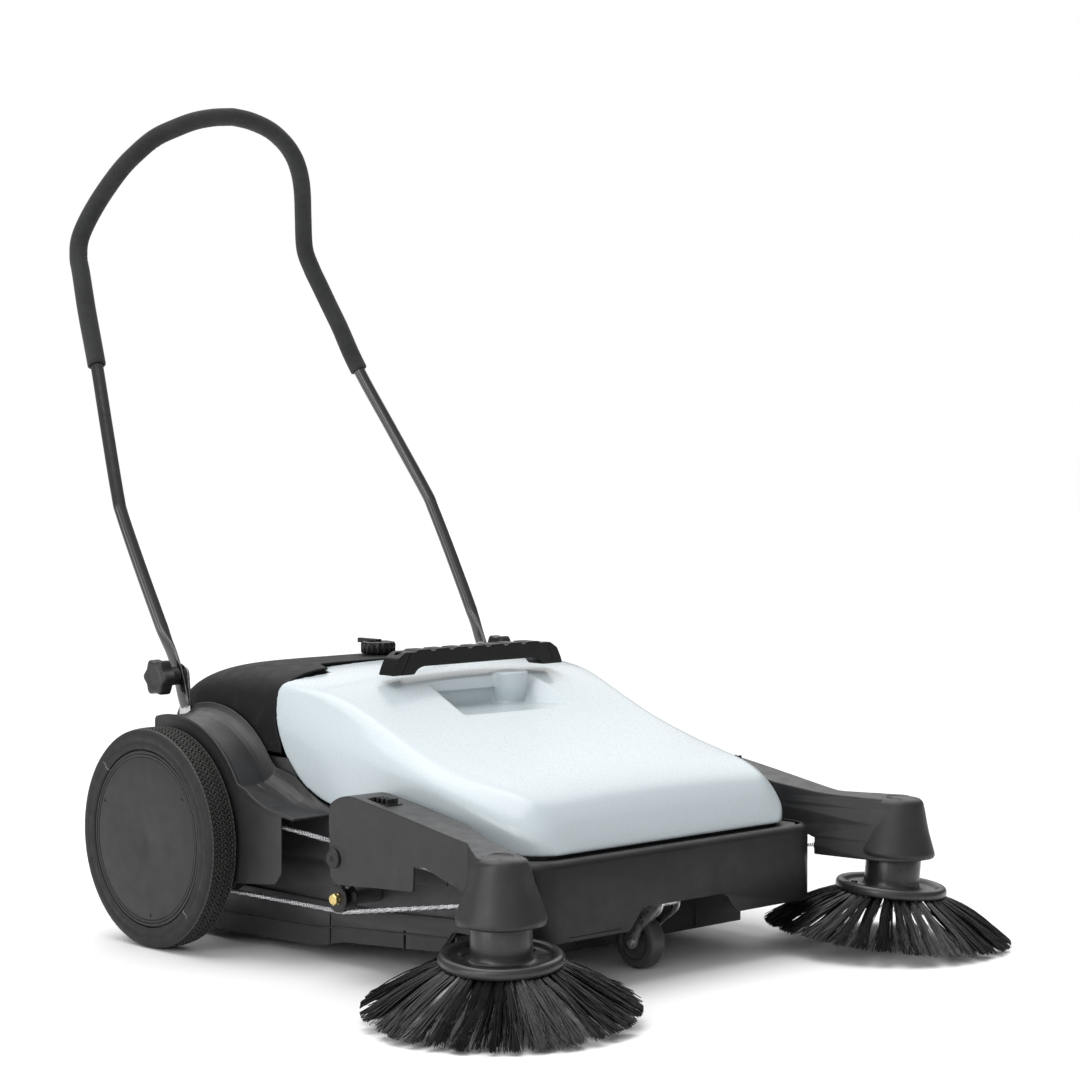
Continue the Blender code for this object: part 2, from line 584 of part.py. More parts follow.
def wheels():
    phi = math.atan2(BROOM_Z - WHEEL_R, BROOM_Y)
    rg, rp = MODULE * GEAR_N / 2, MODULE * PINION_N / 2
    for side, s in SIDES:
        par = pivot(f"{side}_wheel_axis", (s * 0.32, 0, WHEEL_R))
        org = (s * 0.32, 0, WHEEL_R)
        c = (0, 0, WHEEL_R)
        a = (s, 0, 0)
        R, xi, xo = WHEEL_R, WHEEL_IN, WHEEL_OUT
        make(f"{side}_tyre", bm_turn([(0.1050, xi + 0.002), (0.1200, xi), (0.1270, xi + 0.0030),
                                      (R, xi + 0.0105), (R, xo - 0.0105), (0.1270, xo - 0.0030),
                                      (0.1215, xo), (0.1062, xo), (0.1050, xo - 0.0015)], c, a, 40), RUBBER, par, org)
        make(f"{side}_wheel_rim", bm_turn([(0.0106, 0.2370), (HUB_R, 0.2370), (HUB_R, 0.3060),
                                           (0.0950, 0.3060), (0.1047, 0.3045), (0.1047, 0.3370),
                                           (0.0106, 0.3370)], c, a, 40), DARK, par, org)
        make(f"{side}_hub_cap", bm_turn([(0, 0.3373), (0.1036, 0.3373), (0.1036, 0.3405),
                                         (0.1020, 0.3415), (0.0960, 0.3415), (0.0950, 0.3405),
                                         (0, 0.3405)], c, a, 40), BLACK, par, org)
        make(f"{side}_drive_gear",
             bm_gear(GEAR_N, rg, phi - 0.00136 / rg, HUB_R + GAP, (0, WHEEL_R), s * GEAR_X0, s * GEAR_X1),
             DARK, par, org)
        pp = pivot(f"{side}_pinion_axis", (s * 0.2435, BROOM_Y, BROOM_Z))
        make(f"{side}_pinion",
             bm_gear(PINION_N, rp, phi + math.pi + math.pi / PINION_N, 0.0063, (BROOM_Y, BROOM_Z),
                     s * GEAR_X0, s * GEAR_X1), DARK, pp, (s * 0.2435, BROOM_Y, BROOM_Z))


def main_broom():
    par = pivot("broom_axis", (0, BROOM_Y, BROOM_Z))
    org = (0, BROOM_Y, BROOM_Z)
    h = BROOM_HALF
    make("broom_core", bm_turn([(0, -0.2945), (0.0060, -0.2945), (0.0060, -h - 0.004), (0.0450, -h - 0.004),
                                (0.0450, h + 0.004), (0.0060, h + 0.004), (0.0060, 0.2945), (0, 0.2945)],
                               org, (1, 0, 0), 28), DARK, par, org)
    # tufts stand in eight curved rows; the outline follows their tips
    rows, n, m = 8, 32, 6
    rings = []
    for i in range(m + 1):
        x = -h + 2 * h * i / m
        ph = 1.1 * (x / h)
        rings.append([(x, BROOM_Y + (BROOM_R - 0.030 * (0.5 - 0.5 * math.cos(rows * (t - ph)))) * math.cos(t),
                       BROOM_Z + (BROOM_R - 0.030 * (0.5 - 0.5 * math.cos(rows * (t - ph)))) * math.sin(t))
                      for t in (2 * math.pi * j / n for j in range(n))])
    for x in (h, -h):
        rings.append([(x, BROOM_Y + 0.0453 * math.cos(t), BROOM_Z + 0.0453 * math.sin(t))
                      for t in (2 * math.pi * j / n for j in range(n))])
    make("broom_bristles", bm_loft(rings, closed=True), BRISTLE, par, org)
    for side, s in SIDES:
        g = PULLEY_R - BELT_R - 0.0008
        make(f"{side}_belt_pulley", bm_turn([(0.0063, -0.0085), (0.0500, -0.0085), (0.0500, -0.0065),
                                             (g, -0.0030), (g, 0.0030), (0.0500, 0.0065),
                                             (0.0500, 0.0085), (0.0063, 0.0085)],
                                            (s * BELT_X, BROOM_Y, BROOM_Z), (s, 0, 0), 26), DARK, par, org)


def carrier():
    par = pivot("carrier_axis", (0, 0, WHEEL_R))
    org = (0, 0, WHEEL_R)
    plate = [(0.016, 0.118), (0.018, 0.140), (0.004, 0.200), (0.004, 0.266), (-0.046, 0.266),
             (-0.050, 0.190), (-0.092, 0.132), (-0.092, 0.108), (-0.070, 0.1025), (-0.004, 0.1125)]
    ob = make("broom_carrier", bm_prism_x(plate, -0.2290, -0.2250), SHEET, par, org)
    boolean(ob, make("add_carrier_left", bm_prism_x(plate, 0.2250, 0.2290), SHEET, par, org), 'UNION')
    boolean(ob, make("add_carrier_bar", bm_box(-0.2270, 0.2270, -0.045, 0.003, 0.2625, 0.2655), SHEET,
                     par, org), 'UNION')
    boolean(ob, make("cut_carrier_slot", bm_box(-0.0135, 0.0135, KNOB_Y - CAM_E - 0.0092,
                                                KNOB_Y - CAM_E + 0.0092, 0.25, 0.28), SHEET, par, org))
    for s in (-1, 1):
        boolean(ob, make(f"cut_carrier_axle_{s + 1}", bm_cyl((s * 0.21, 0, WHEEL_R), (s * 0.24, 0, WHEEL_R),
                                                             AXLE_R + 0.0004, 24), SHEET, par, org))
        boolean(ob, make(f"cut_carrier_shaft_{s + 1}", bm_cyl((s * 0.21, BROOM_Y, BROOM_Z),
                                                              (s * 0.24, BROOM_Y, BROOM_Z), 0.0064, 20),
                         SHEET, par, org))
    kp = pivot("height_knob_axis", (0, KNOB_Y, 0.33))
    ko = (0, KNOB_Y, 0.33)
    n = 36
    ang = [2 * math.pi * i / n for i in range(n)]

    def ribbed(r, d):
        return lambda t: r - d * (0.5 - 0.5 * math.cos(12 * t))

    make("height_knob", bm_star([(0.0, ribbed(0.0195, 0.0)), (0.0015, ribbed(0.0215, 0.0012)),
                                 (0.0130, ribbed(0.0220, 0.0014)), (0.0150, ribbed(0.0195, 0.0006))],
                                (0, KNOB_Y, 0.3300), (0, 0, 1), ang), BLACK, kp, ko)
    cam = make("height_spindle", bm_cyl((0, KNOB_Y, 0.2560), (0, KNOB_Y, 0.3297), 0.0040, 20), STEEL, kp, ko)
    boolean(cam, make("add_cam", bm_cyl((0, KNOB_Y - CAM_E, 0.2575), (0, KNOB_Y - CAM_E, 0.2705), 0.0080, 24),
                      STEEL, kp, ko), 'UNION')


# ------------------------------------------------------------------ hopper
# y, x bottom, x lower crease, z lower crease, x upper crease, z upper crease, crown
HOP_ROWS = [(-0.070, 0.2385, 0.2395, 0.2780, 0.2330, 0.3140, 0.0150),
            (-0.116, 0.2385, 0.2395, 0.2690, 0.2320, 0.3130, 0.0160),
            (-0.165, 0.2370, 0.2375, 0.2585, 0.2220, 0.3085, 0.0160),
            (-0.198, 0.2360, 0.2362, 0.2515, 0.2155, 0.3000, 0.0180),
            (-0.230, 0.2345, 0.2350, 0.2450, 0.2100, 0.2890, 0.0170),
            (-0.270, 0.2330, 0.2335, 0.2370, 0.2065, 0.2735, 0.0140),
            (-0.311, 0.2315, 0.2320, 0.2290, 0.2040, 0.2585, 0.0115),
            (-0.372, 0.2285, 0.2290, 0.2185, 0.2010, 0.2405, 0.0095),
            (-0.420, 0.2255, 0.2260, 0.2060, 0.1990, 0.2295, 0.0085),
            (-0.460, 0.2210, 0.2220, 0.1930, 0.1950, 0.2210, 0.0075),
            (-0.488, 0.2150, 0.2160, 0.1830, 0.1880, 0.2125, 0.0065),
            (-0.505, 0.2080, 0.2085, 0.1760, 0.1800, 0.2030, 0.0060),
            (-0.518, 0.1990, 0.1995, 0.1690, 0.1700, 0.1870, 0.0055),
            (-0.526, 0.1880, 0.1885, 0.1610, 0.1600, 0.1690, 0.0050),
            (-0.5305, 0.1790, 0.1792, 0.1545, 0.1560, 0.1560, 0.0040)]


def hop_section(y, off=0.0, base=0.1520, dy=0.0):
    xb, xl, zl, xu, zu, cr = lerp_table(HOP_ROWS, y)
    half = [(xb - off, base), (xl - off, zl - off * 0.3), (xl - off - 0.3 * (xl - xu), zl - off * 0.5 + 0.42 * (zu - zl)),
            (xu - off * 0.8, zu - off), (xu - 0.025 - off * 0.6, zu + cr * 0.28 - off),
            (xu * 0.5, zu + cr * 0.78 - off)]
    mid = [(0, zu + cr - off)]
    pts = half + mid + [(-x, z) for x, z in reversed(half)]
    return [(x, y + dy, z) for x, z in pts]


def hopper():
    ys = [-0.070] + [r[0] for r in HOP_ROWS[1:]]
    ob = make("hopper_cover", bm_loft([hop_section(y) for y in ys]), GREY)
    arcp = arc_edge(0.1200)
    keep = [(-0.1155, 0.37)] + arcp + [(-0.300, 0.1660), (-0.420, 0.1560), (-0.500, 0.1522),
                                       (-0.56, 0.1522), (-0.56, 0.37)]
    region = make("keep_hopper", bm_prism_x(keep, -0.27, 0.27), GREY)
    tongue = [(-0.155, -0.30), (-0.155, -0.1150), (-0.1352, -0.0755), (0.1352, -0.0755),
              (0.155, -0.1150), (0.155, -0.30)]
    boolean(region, make("add_hopper_tongue", bm_prism_z(tongue, 0.285, 0.36), GREY), 'UNION')
    boolean(ob, region, 'INTERSECT')
    pocket = make("cut_hand_pocket", bm_box(-0.092, 0.092, -0.286, -0.206, 0.2620, 0.40), GREY)
    boolean(ob, pocket)
    inner = make("cut_hopper_inner",
                 bm_loft([hop_section(y, 0.003, 0.12) for y in ys[:1]][:0] +
                         [[(x, -0.05, z) for x, _, z in hop_section(-0.070, 0.003, 0.12)]] +
                         [hop_section(y, 0.003, 0.12, 0.0) for y in ys[:-4]] +
                         [hop_section(y, 0.0035, 0.12, 0.0030) for y in ys[-4:-1]]), GREY)
    boolean(inner, make("add_pocket_wall", bm_box(-0.095, 0.095, -0.289, -0.203, 0.2590, 0.41), GREY))
    boolean(ob, inner)

    tub = make("hopper_tub", bm_box(-0.200, 0.200, -0.472, -0.2055, 0.067, 0.1518), DARK)
    boolean(tub, make("add_tub_rim", bm_prism_z([(-0.2185, -0.470), (-0.2050, -0.505), (-0.1850, -0.522),
                                                 (0.1850, -0.522), (0.2050, -0.505), (0.2185, -0.470),
                                                 (0.2185, -0.2300), (-0.2185, -0.2300)], 0.1488, 0.1518),
                      DARK), 'UNION')
    boolean(tub, make("cut_tub_inner", bm_box(-0.197, 0.197, -0.469, -0.2085, 0.070, 0.17), DARK))
    boolean(tub, make("cut_tub_mouth", bm_box(-0.197, 0.197, -0.2200, -0.19, 0.088, 0.17), DARK))

    # carry handle: a bar on two feet with finger ribs along its top
    bar = [(-0.138, 0.3222), (-0.132, 0.3300), (-0.122, 0.3420), (-0.112, 0.3470)]
    top = list(bar)
    for i in range(7):
        x = -0.088 + 0.0293 * i
        top += [(x - 0.0075, 0.3475), (x - 0.0040, 0.3515), (x + 0.0040, 0.3515), (x + 0.0075, 0.3475)]
    top += [(-x, z) for x, z in reversed(bar)]
    under = [(0.104, 0.3222), (0.098, 0.3280), (0.090, 0.3312), (-0.090, 0.3312), (-0.098, 0.3280),
             (-0.104, 0.3222)]
    outline = top + under
    bm = bm_loft([[(x, -0.2100, z) for x, z in outline], [(x, -0.1840, z) for x, z in outline]])
    make("carry_handle", bm, BLACK, smooth=None)


# ------------------------------------------------------------------ push handle
HANDLE = [(0.2503, 0.0440, 0.2760), (0.2503, 0.0500, 0.2900), (0.2503, 0.0580, 0.3125),
          (0.2508, 0.0700, 0.3380), (0.2530, 0.0840, 0.3630), (0.2550, 0.1290, 0.4395),
          (0.2550, 0.1670, 0.5040), (0.2525, 0.1800, 0.5270), (0.2345, 0.2290, 0.6100),
          (0.2165, 0.2770, 0.6920), (0.2070, 0.3110, 0.7570), (0.1970, 0.3400, 0.8120),
          (0.1930, 0.3515, 0.8350), (0.1850, 0.3570, 0.8630), (0.1700, 0.3410, 0.9050),
          (0.1500, 0.3190, 0.9460), (0.1310, 0.3050, 0.9710), (0.1100, 0.2950, 0.9900),
          (0.0860, 0.2860, 1.0030), (0.0600, 0.2800, 1.0135), (0.0300, 0.2765, 1.0205),
          (0.0, 0.2755, 1.0235)]
GRIP_START = 9             # the foam begins at this point of the path


def push_handle():
    par = pivot("handle_axis", (0, HINGE_Y, HINGE_Z))
    org = (0, HINGE_Y, HINGE_Z)
    half = smooth_path(HANDLE, 2)
    path = half + [Vector((-p.x, p.y, p.z)) for p in reversed(half[:-1])]
    rad = []
    for p in path:
        z = p.z
        t = min(max((z - 0.338) / 0.030, 0.0), 1.0)
        t = t * t * (3 - 2 * t)
        rad.append((0.0025 + (TUBE_R - 0.0025) * t, 0.0098 + (TUBE_R - 0.0098) * t))
    ob = make("handle_tube", bm_sweep(path, rad, 8), PAINT, par, org)
    for s in (-1, 1):
        boolean(ob, make(f"cut_handle_hole_{s + 1}", bm_cyl((s * 0.24, HINGE_Y, HINGE_Z),
                                                            (s * 0.262, HINGE_Y, HINGE_Z), 0.0044, 16),
                         PAINT, par, org))
    g = smooth_path(HANDLE, 2)[GRIP_START * 2:]
    gp = g + [Vector((-p.x, p.y, p.z)) for p in reversed(g[:-1])]
    # foam sleeve: outer skin, then back along the bore
    bm = bmesh.new()
    n = 8
    rows = []
    for r in (FOAM_R, TUBE_R + GAP + 0.0003):
        normal = None
        rr = []
        for i, p in enumerate(gp):
            t = (gp[min(i + 1, len(gp) - 1)] - gp[max(i - 1, 0)]).normalized()
            if normal is None:
                normal = Vector((1, 0, 0))
            normal = (normal - t * normal.dot(t)).normalized()
            side = t.cross(normal)
            rr.append([bm.verts.new(p + normal * (r * math.cos(q)) + side * (r * math.sin(q)))
                       for q in (2 * math.pi * j / n for j in range(n))])
        rows.append(rr)
    loop = rows[0] + rows[1][::-1]
    for i in range(len(loop)):
        a, b = loop[i], loop[(i + 1) % len(loop)]
        for j in range(n):
            k = (j + 1) % n
            bm.faces.new((a[j], a[k], b[k], b[j]))
    make("foam_grip", bm, FOAM, par, org)
    n = 24
    ang = [2 * math.pi * i / n for i in range(n)]
    for side, s in SIDES:
        kp = pivot(f"{side}_knob_axis", (s * 0.27, HINGE_Y, HINGE_Z))

        def lobed(r, d):
            return lambda t: r - d * (0.5 - 0.5 * math.cos(6 * t))

        rows = [(0.2420, lobed(0.0040, 0)), (0.2537, lobed(0.0040, 0)), (0.2537, lobed(0.0110, 0)),
                (0.2690, lobed(0.0120, 0)), (0.2700, lobed(0.0200, 0.0030)), (0.2725, lobed(0.0232, 0.0045)),
                (0.2840, lobed(0.0232, 0.0045)), (0.2870, lobed(0.0205, 0.0035))]
        make(f"{side}_handle_knob", bm_star(rows, (0, HINGE_Y, HINGE_Z), (s, 0, 0), ang), BLACK, kp,
             (s * 0.27, HINGE_Y, HINGE_Z))


# ------------------------------------------------------------------ front caster
def caster():
    cy, tr, r = CASTER_Y, CASTER_TRAIL, CASTER_R
    make("caster_plate", bm_box(-0.030, 0.030, cy - 0.026, cy + 0.026, 0.0898, 0.0932), STEEL)
    par = pivot("caster_axis", (0, cy, 0.0895))
    org = (0, cy, 0.0895)
    ob = make("caster_fork", bm_turn([(0, 0.0785), (0.0180, 0.0785), (0.0200, 0.0810), (0.0200, 0.0860),
                                      (0.0180, 0.0895), (0, 0.0895)], (0, cy, 0), (0, 0, 1), 24), STEEL, par, org)
    leg = [(cy - 0.014, 0.0800), (cy + 0.016, 0.0800), (cy + tr + 0.009, 0.036), (cy + tr + 0.007, 0.026),
           (cy + tr, 0.023), (cy + tr - 0.007, 0.026), (cy + tr - 0.010, 0.036)]
    for s in (-1, 1):
        boolean(ob, make(f"add_fork_leg_{s + 1}", bm_prism_x(leg, s * 0.0128, s * 0.0152), STEEL, par, org),
                'UNION')
    boolean(ob, make("add_caster_pin", bm_cyl((-0.0185, cy + tr, r), (0.0185, cy + tr, r), 0.0035, 16), STEEL,
                     par, org), 'UNION')
    wp = pivot("caster_wheel_axis", (0, cy + tr, r))
    make("caster_wheel", bm_turn([(0.0039, -0.0118), (0.0120, -0.0118), (0.0120, -0.0095), (0.0210, -0.0105),
                                  (0.0280, -0.0105), (r, -0.0070), (r, 0.0070), (0.0280, 0.0105),
                                  (0.0210, 0.0105), (0.0120, 0.0095), (0.0120, 0.0118),
                                  (0.0039, 0.0118)], (0, cy + tr, r), (1, 0, 0), 22),
         RUBBER, wp, (0, cy + tr, r))


side_frames()
front_end()
rear_cover()
fenders()
handle_brackets()
pins()
belts()
arm_parts()
wheels()
main_broom()
carrier()
hopper()
push_handle()
caster()
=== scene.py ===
import math
import random
import bpy
import bmesh
import numpy as np
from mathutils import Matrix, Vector


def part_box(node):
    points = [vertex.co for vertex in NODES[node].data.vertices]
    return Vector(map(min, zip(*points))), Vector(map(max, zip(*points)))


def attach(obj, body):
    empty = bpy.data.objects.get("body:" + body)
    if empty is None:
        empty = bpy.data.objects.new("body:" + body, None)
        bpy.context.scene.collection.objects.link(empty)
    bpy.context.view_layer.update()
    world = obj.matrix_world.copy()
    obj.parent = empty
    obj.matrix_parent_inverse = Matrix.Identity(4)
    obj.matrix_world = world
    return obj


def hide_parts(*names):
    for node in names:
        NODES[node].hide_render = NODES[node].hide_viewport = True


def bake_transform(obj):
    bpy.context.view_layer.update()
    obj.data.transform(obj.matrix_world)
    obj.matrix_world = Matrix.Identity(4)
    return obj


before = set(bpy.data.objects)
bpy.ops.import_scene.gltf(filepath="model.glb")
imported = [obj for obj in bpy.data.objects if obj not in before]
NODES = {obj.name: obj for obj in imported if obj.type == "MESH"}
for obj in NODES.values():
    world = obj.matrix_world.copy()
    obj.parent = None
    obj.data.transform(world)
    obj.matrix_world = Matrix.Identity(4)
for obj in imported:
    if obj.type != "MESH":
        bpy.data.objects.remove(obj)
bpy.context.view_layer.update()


SCN = bpy.context.scene


def centre(node):
    lo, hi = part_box(node)
    return (lo + hi) / 2


AY = centre("right_wheel_rim").y            # the wheel axle's place along Y
SIDES = (("right", -1), ("left", 1))

# ------------------------------------------------------------------ sizes (axle at Y = 0)
WHEEL_R, WHEEL_OUT, WHEEL_IN = 0.130, 0.343, 0.302
BROOM_Y, BROOM_Z, BROOM_R, BROOM_HALF = -0.0753, 0.1197, 0.1182, 0.2180
BELT_X, BELT_R, PULLEY_R, BRUSH_PULLEY_R = 0.285, 0.003, 0.0465, 0.029
IDLER_Y, IDLER_Z, IDLER_R = -0.2965, 0.0905, 0.0155
SIDE_X, SIDE_Y, SIDE_Z, TILT = 0.3110, -0.5850, 0.0140, math.radians(5.0)
TIP_R, PLATE_R, PULLEY_H = 0.146, 0.065, 0.1155
PIVOT_Y, PIVOT_Z = -0.302, 0.137
HINGE_Y, HINGE_Z = 0.058, 0.3125
TUBE_R, FOAM_R = 0.0080, 0.0118
KNOB_Y = -0.020
CASTER_Y, CASTER_TRAIL, CASTER_R = -0.514, 0.034, 0.031
AXES = {s: Vector((s * math.sin(TILT) * math.sqrt(0.5), -math.sin(TILT) * math.sqrt(0.5), math.cos(TILT)))
        for s in (-1, 1)}


def broom_point(s, h):
    return Vector((s * SIDE_X, SIDE_Y, SIDE_Z)) + AXES[s] * h


# ------------------------------------------------------------------ mesh helpers
def loft(rings, closed=False, caps=True):
    bm = bmesh.new()
    rows = [[bm.verts.new(p) for p in r] for r in rings]
    n = len(rows[0])
    last = len(rows) if closed else len(rows) - 1
    for i in range(last):
        a, b = rows[i], rows[(i + 1) % len(rows)]
        for j in range(n):
            k = (j + 1) % n
            bm.faces.new((a[j], a[k], b[k], b[j]))
    if not closed and caps:
        bm.faces.new(rows[0][::-1])
        bm.faces.new(rows[-1])
    return bm


def prism_x(pts, x0, x1):
    return loft([[(x0, y, z) for y, z in pts], [(x1, y, z) for y, z in pts]])


def prism_z(pts, z0, z1):
    return loft([[(x, y, z0) for x, y in pts], [(x, y, z1) for x, y in pts]])


def block(x0, x1, y0, y1, z0, z1):
    x0, x1 = sorted((x0, x1))
    return prism_z([(x0, y0), (x1, y0), (x1, y1), (x0, y1)], z0, z1)


def frame_of(axis):
    a = Vector(axis).normalized()
    u = Vector((0, 1, 0)) if abs(a.y) < 0.9 else Vector((1, 0, 0))
    u = (u - a * u.dot(a)).normalized()
    return a, u, a.cross(u)


def turn(profile, centre_, axis, n=64):
    a, u, w = frame_of(axis)
    c = Vector(centre_)
    bm = bmesh.new()
    cols = []
    for r, h in profile:
        if r < 1e-7:
            cols.append([bm.verts.new(c + a * h)])
        else:
            cols.append([bm.verts.new(c + a * h + (u * math.cos(t) + w * math.sin(t)) * r)
                         for t in (2 * math.pi * i / n for i in range(n))])
    m = len(cols)
    for i in range(m):
        p, q = cols[i], cols[(i + 1) % m]
        if len(p) == 1 and len(q) == 1:
            continue
        for j in range(n):
            k = (j + 1) % n
            if len(p) == 1:
                bm.faces.new((p[0], q[k], q[j]))
            elif len(q) == 1:
                bm.faces.new((p[j], p[k], q[0]))
            else:
                bm.faces.new((p[j], p[k], q[k], q[j]))
    return bm


def rod(p0, p1, r, n=32):
    p0, p1 = Vector(p0), Vector(p1)
    L = (p1 - p0).length
    return turn([(0, 0), (r, 0), (r, L), (0, L)], p0, p1 - p0, n)


def star(fn_rows, centre_, axis, n):
    a, u, w = frame_of(axis)
    c = Vector(centre_)
    return loft([[c + a * h + (u * math.cos(t) + w * math.sin(t)) * fn(t)
                  for t in (2 * math.pi * i / n for i in range(n))] for h, fn in fn_rows])


def fillet(pts, d, k=5, closed=False):
    """Rounds the corners of an open or closed outline; d is one length or one per corner."""
    P = [Vector(p) for p in pts]
    m = len(P)
    out = []
    rng = range(m) if closed else range(1, m - 1)
    if not closed:
        out.append(P[0])
    for i in rng:
        a, b, c = P[i - 1], P[i], P[(i + 1) % m]
        dd = d[i] if isinstance(d, (list, tuple)) else d
        if dd <= 0:
            out.append(b)
            continue
        e1, e2 = (a - b), (c - b)
        t = min(dd, e1.length * 0.48, e2.length * 0.48)
        p0, p2 = b + e1.normalized() * t, b + e2.normalized() * t
        for j in range(k + 1):
            s = j / k
            out.append(p0 * (1 - s) ** 2 + b * 2 * s * (1 - s) + p2 * s * s)
    if not closed:
        out.append(P[-1])
    return [tuple(p) for p in out]


def catmull(rows, per):
    """Smooth interpolation of equal-length number rows."""
    R = [np.array(r, float) for r in rows]
    out = []
    for i in range(len(R) - 1):
        a = R[i - 1] if i else R[0] * 2 - R[1]
        b, c = R[i], R[i + 1]
        d = R[i + 2] if i + 2 < len(R) else R[-1] * 2 - R[-2]
        for k in range(per):
            t = k / per
            out.append(0.5 * ((2 * b) + (c - a) * t + (2 * a - 5 * b + 4 * c - d) * t * t
                              + (3 * b - a - 3 * c + d) * t ** 3))
    out.append(R[-1])
    return out


def frames_along(pts, closed=False, lead=(1, 0, 0)):
    P = [Vector(p) for p in pts]
    m = len(P)
    res = []
    normal = None
    for i, p in enumerate(P):
        if closed:
            t = (P[(i + 1) % m] - P[i - 1]).normalized()
        else:
            t = (P[min(i + 1, m - 1)] - P[max(i - 1, 0)]).normalized()
        if normal is None:
            normal = Vector(lead)
        normal = (normal - t * normal.dot(t)).normalized()
        res.append((p, t, normal, t.cross(normal)))
    return res


def sweep(points, radii, n=24, closed=False, lead=(1, 0, 0)):
    rings = []
    for i, (p, t, nn, side) in enumerate(frames_along(points, closed, lead)):
        a, b = radii[i] if isinstance(radii, list) else (radii, radii)
        rings.append([p + nn * (a * math.cos(q)) + side * (b * math.sin(q))
                      for q in (2 * math.pi * j / n for j in range(n))])
    return loft(rings, closed)


def resample(pts, step):
    """Even spacing along an open line."""
    P = np.array([tuple(p) for p in pts], float)
    seg = np.linalg.norm(np.diff(P, axis=0), axis=1)
    s = np.concatenate([[0], np.cumsum(seg)])
    n = max(2, int(round(s[-1] / step)) + 1)
    q = np.linspace(0, s[-1], n)
    return np.stack([np.interp(q, s, P[:, k]) for k in range(P.shape[1])], axis=1)


def arc(cy, cz, r, a0, a1, n):
    return [(cy + r * math.cos(math.radians(a0 + (a1 - a0) * i / n)),
             cz + r * math.sin(math.radians(a0 + (a1 - a0) * i / n))) for i in range(n + 1)]


def thing(name, bm):
    """A temporary or final object from a bmesh written around the axle."""
    bmesh.ops.remove_doubles(bm, verts=bm.verts, dist=1e-6)
    bmesh.ops.recalc_face_normals(bm, faces=bm.faces)
    bmesh.ops.translate(bm, verts=bm.verts, vec=(0, AY, 0))
    me = bpy.data.meshes.new(name)
    bm.to_mesh(me)
    bm.free()
    ob = bpy.data.objects.new(name, me)
    SCN.collection.objects.link(ob)
    return ob


def bake_mods(ob):
    dg = bpy.context.evaluated_depsgraph_get()
    me = bpy.data.meshes.new_from_object(ob.evaluated_get(dg))
    old = ob.data
    ob.modifiers.clear()
    ob.data = me
    bpy.data.meshes.remove(old)
    return ob


def drop(ob):
    me = ob.data
    bpy.data.objects.remove(ob, do_unlink=True)
    bpy.data.meshes.remove(me)


def csg(ob, other, op='DIFFERENCE'):
    m = ob.modifiers.new("b", 'BOOLEAN')
    m.operation, m.solver, m.object = op, 'EXACT', other
    bake_mods(ob)
    drop(other)
    return ob


def remesh(ob, voxel, relax=3, factor=0.5):
    m = ob.modifiers.new("v", 'REMESH')
    m.mode = 'VOXEL'
    m.voxel_size = voxel * 1.0
    if relax:
        s = ob.modifiers.new("s", 'SMOOTH')
        s.factor, s.iterations = factor, relax
    return bake_mods(ob)


def bevel(ob, width, segments=3, angle=30):
    m = ob.modifiers.new("w", 'BEVEL')
    m.width, m.segments = width, segments
    m.limit_method, m.angle_limit = 'ANGLE', math.radians(angle)
    m.use_clamp_overlap = True
    return bake_mods(ob)


def show(ob, material, body, nodes=(), smooth=40.0):
    """Gives a finished piece its material, its shading, its body and the CAD nodes it stands for."""
    me = ob.data
    me.materials.clear()
    for m in (material if isinstance(material, (list, tuple)) else [material]):
        me.materials.append(m)
    me.shade_smooth()
    if smooth and smooth < 180:
        me.set_sharp_from_angle(angle=math.radians(smooth))
    if body:
        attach(ob, body)
    if nodes:
        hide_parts(*nodes)
    return ob


def mirrored(ob, name):
    """The same mesh on the other side of X = 0."""
    me = ob.data.copy()
    me.name = name
    bm = bmesh.new()
    bm.from_mesh(me)
    for v in bm.verts:
        v.co.x = -v.co.x
    bmesh.ops.reverse_faces(bm, faces=bm.faces)
    bm.to_mesh(me)
    bm.free()
    o = bpy.data.objects.new(name, me)
    SCN.collection.objects.link(o)
    return o


def raw(name, verts, faces):
    """An object from arrays of points (around the axle) and quads."""
    v = np.array(verts, np.float32).reshape(-1, 3).copy()
    v[:, 1] += AY
    f = np.array(faces, np.int32)
    me = bpy.data.meshes.new(name)
    me.vertices.add(len(v))
    me.vertices.foreach_set("co", v.ravel())
    me.loops.add(f.size)
    me.loops.foreach_set("vertex_index", f.ravel())
    me.polygons.add(len(f))
    me.polygons.foreach_set("loop_start", np.arange(0, f.size, f.shape[1], dtype=np.int32))
    me.update(calc_edges=True)
    me.validate()
    ob = bpy.data.objects.new(name, me)
    SCN.collection.objects.link(ob)
    return ob


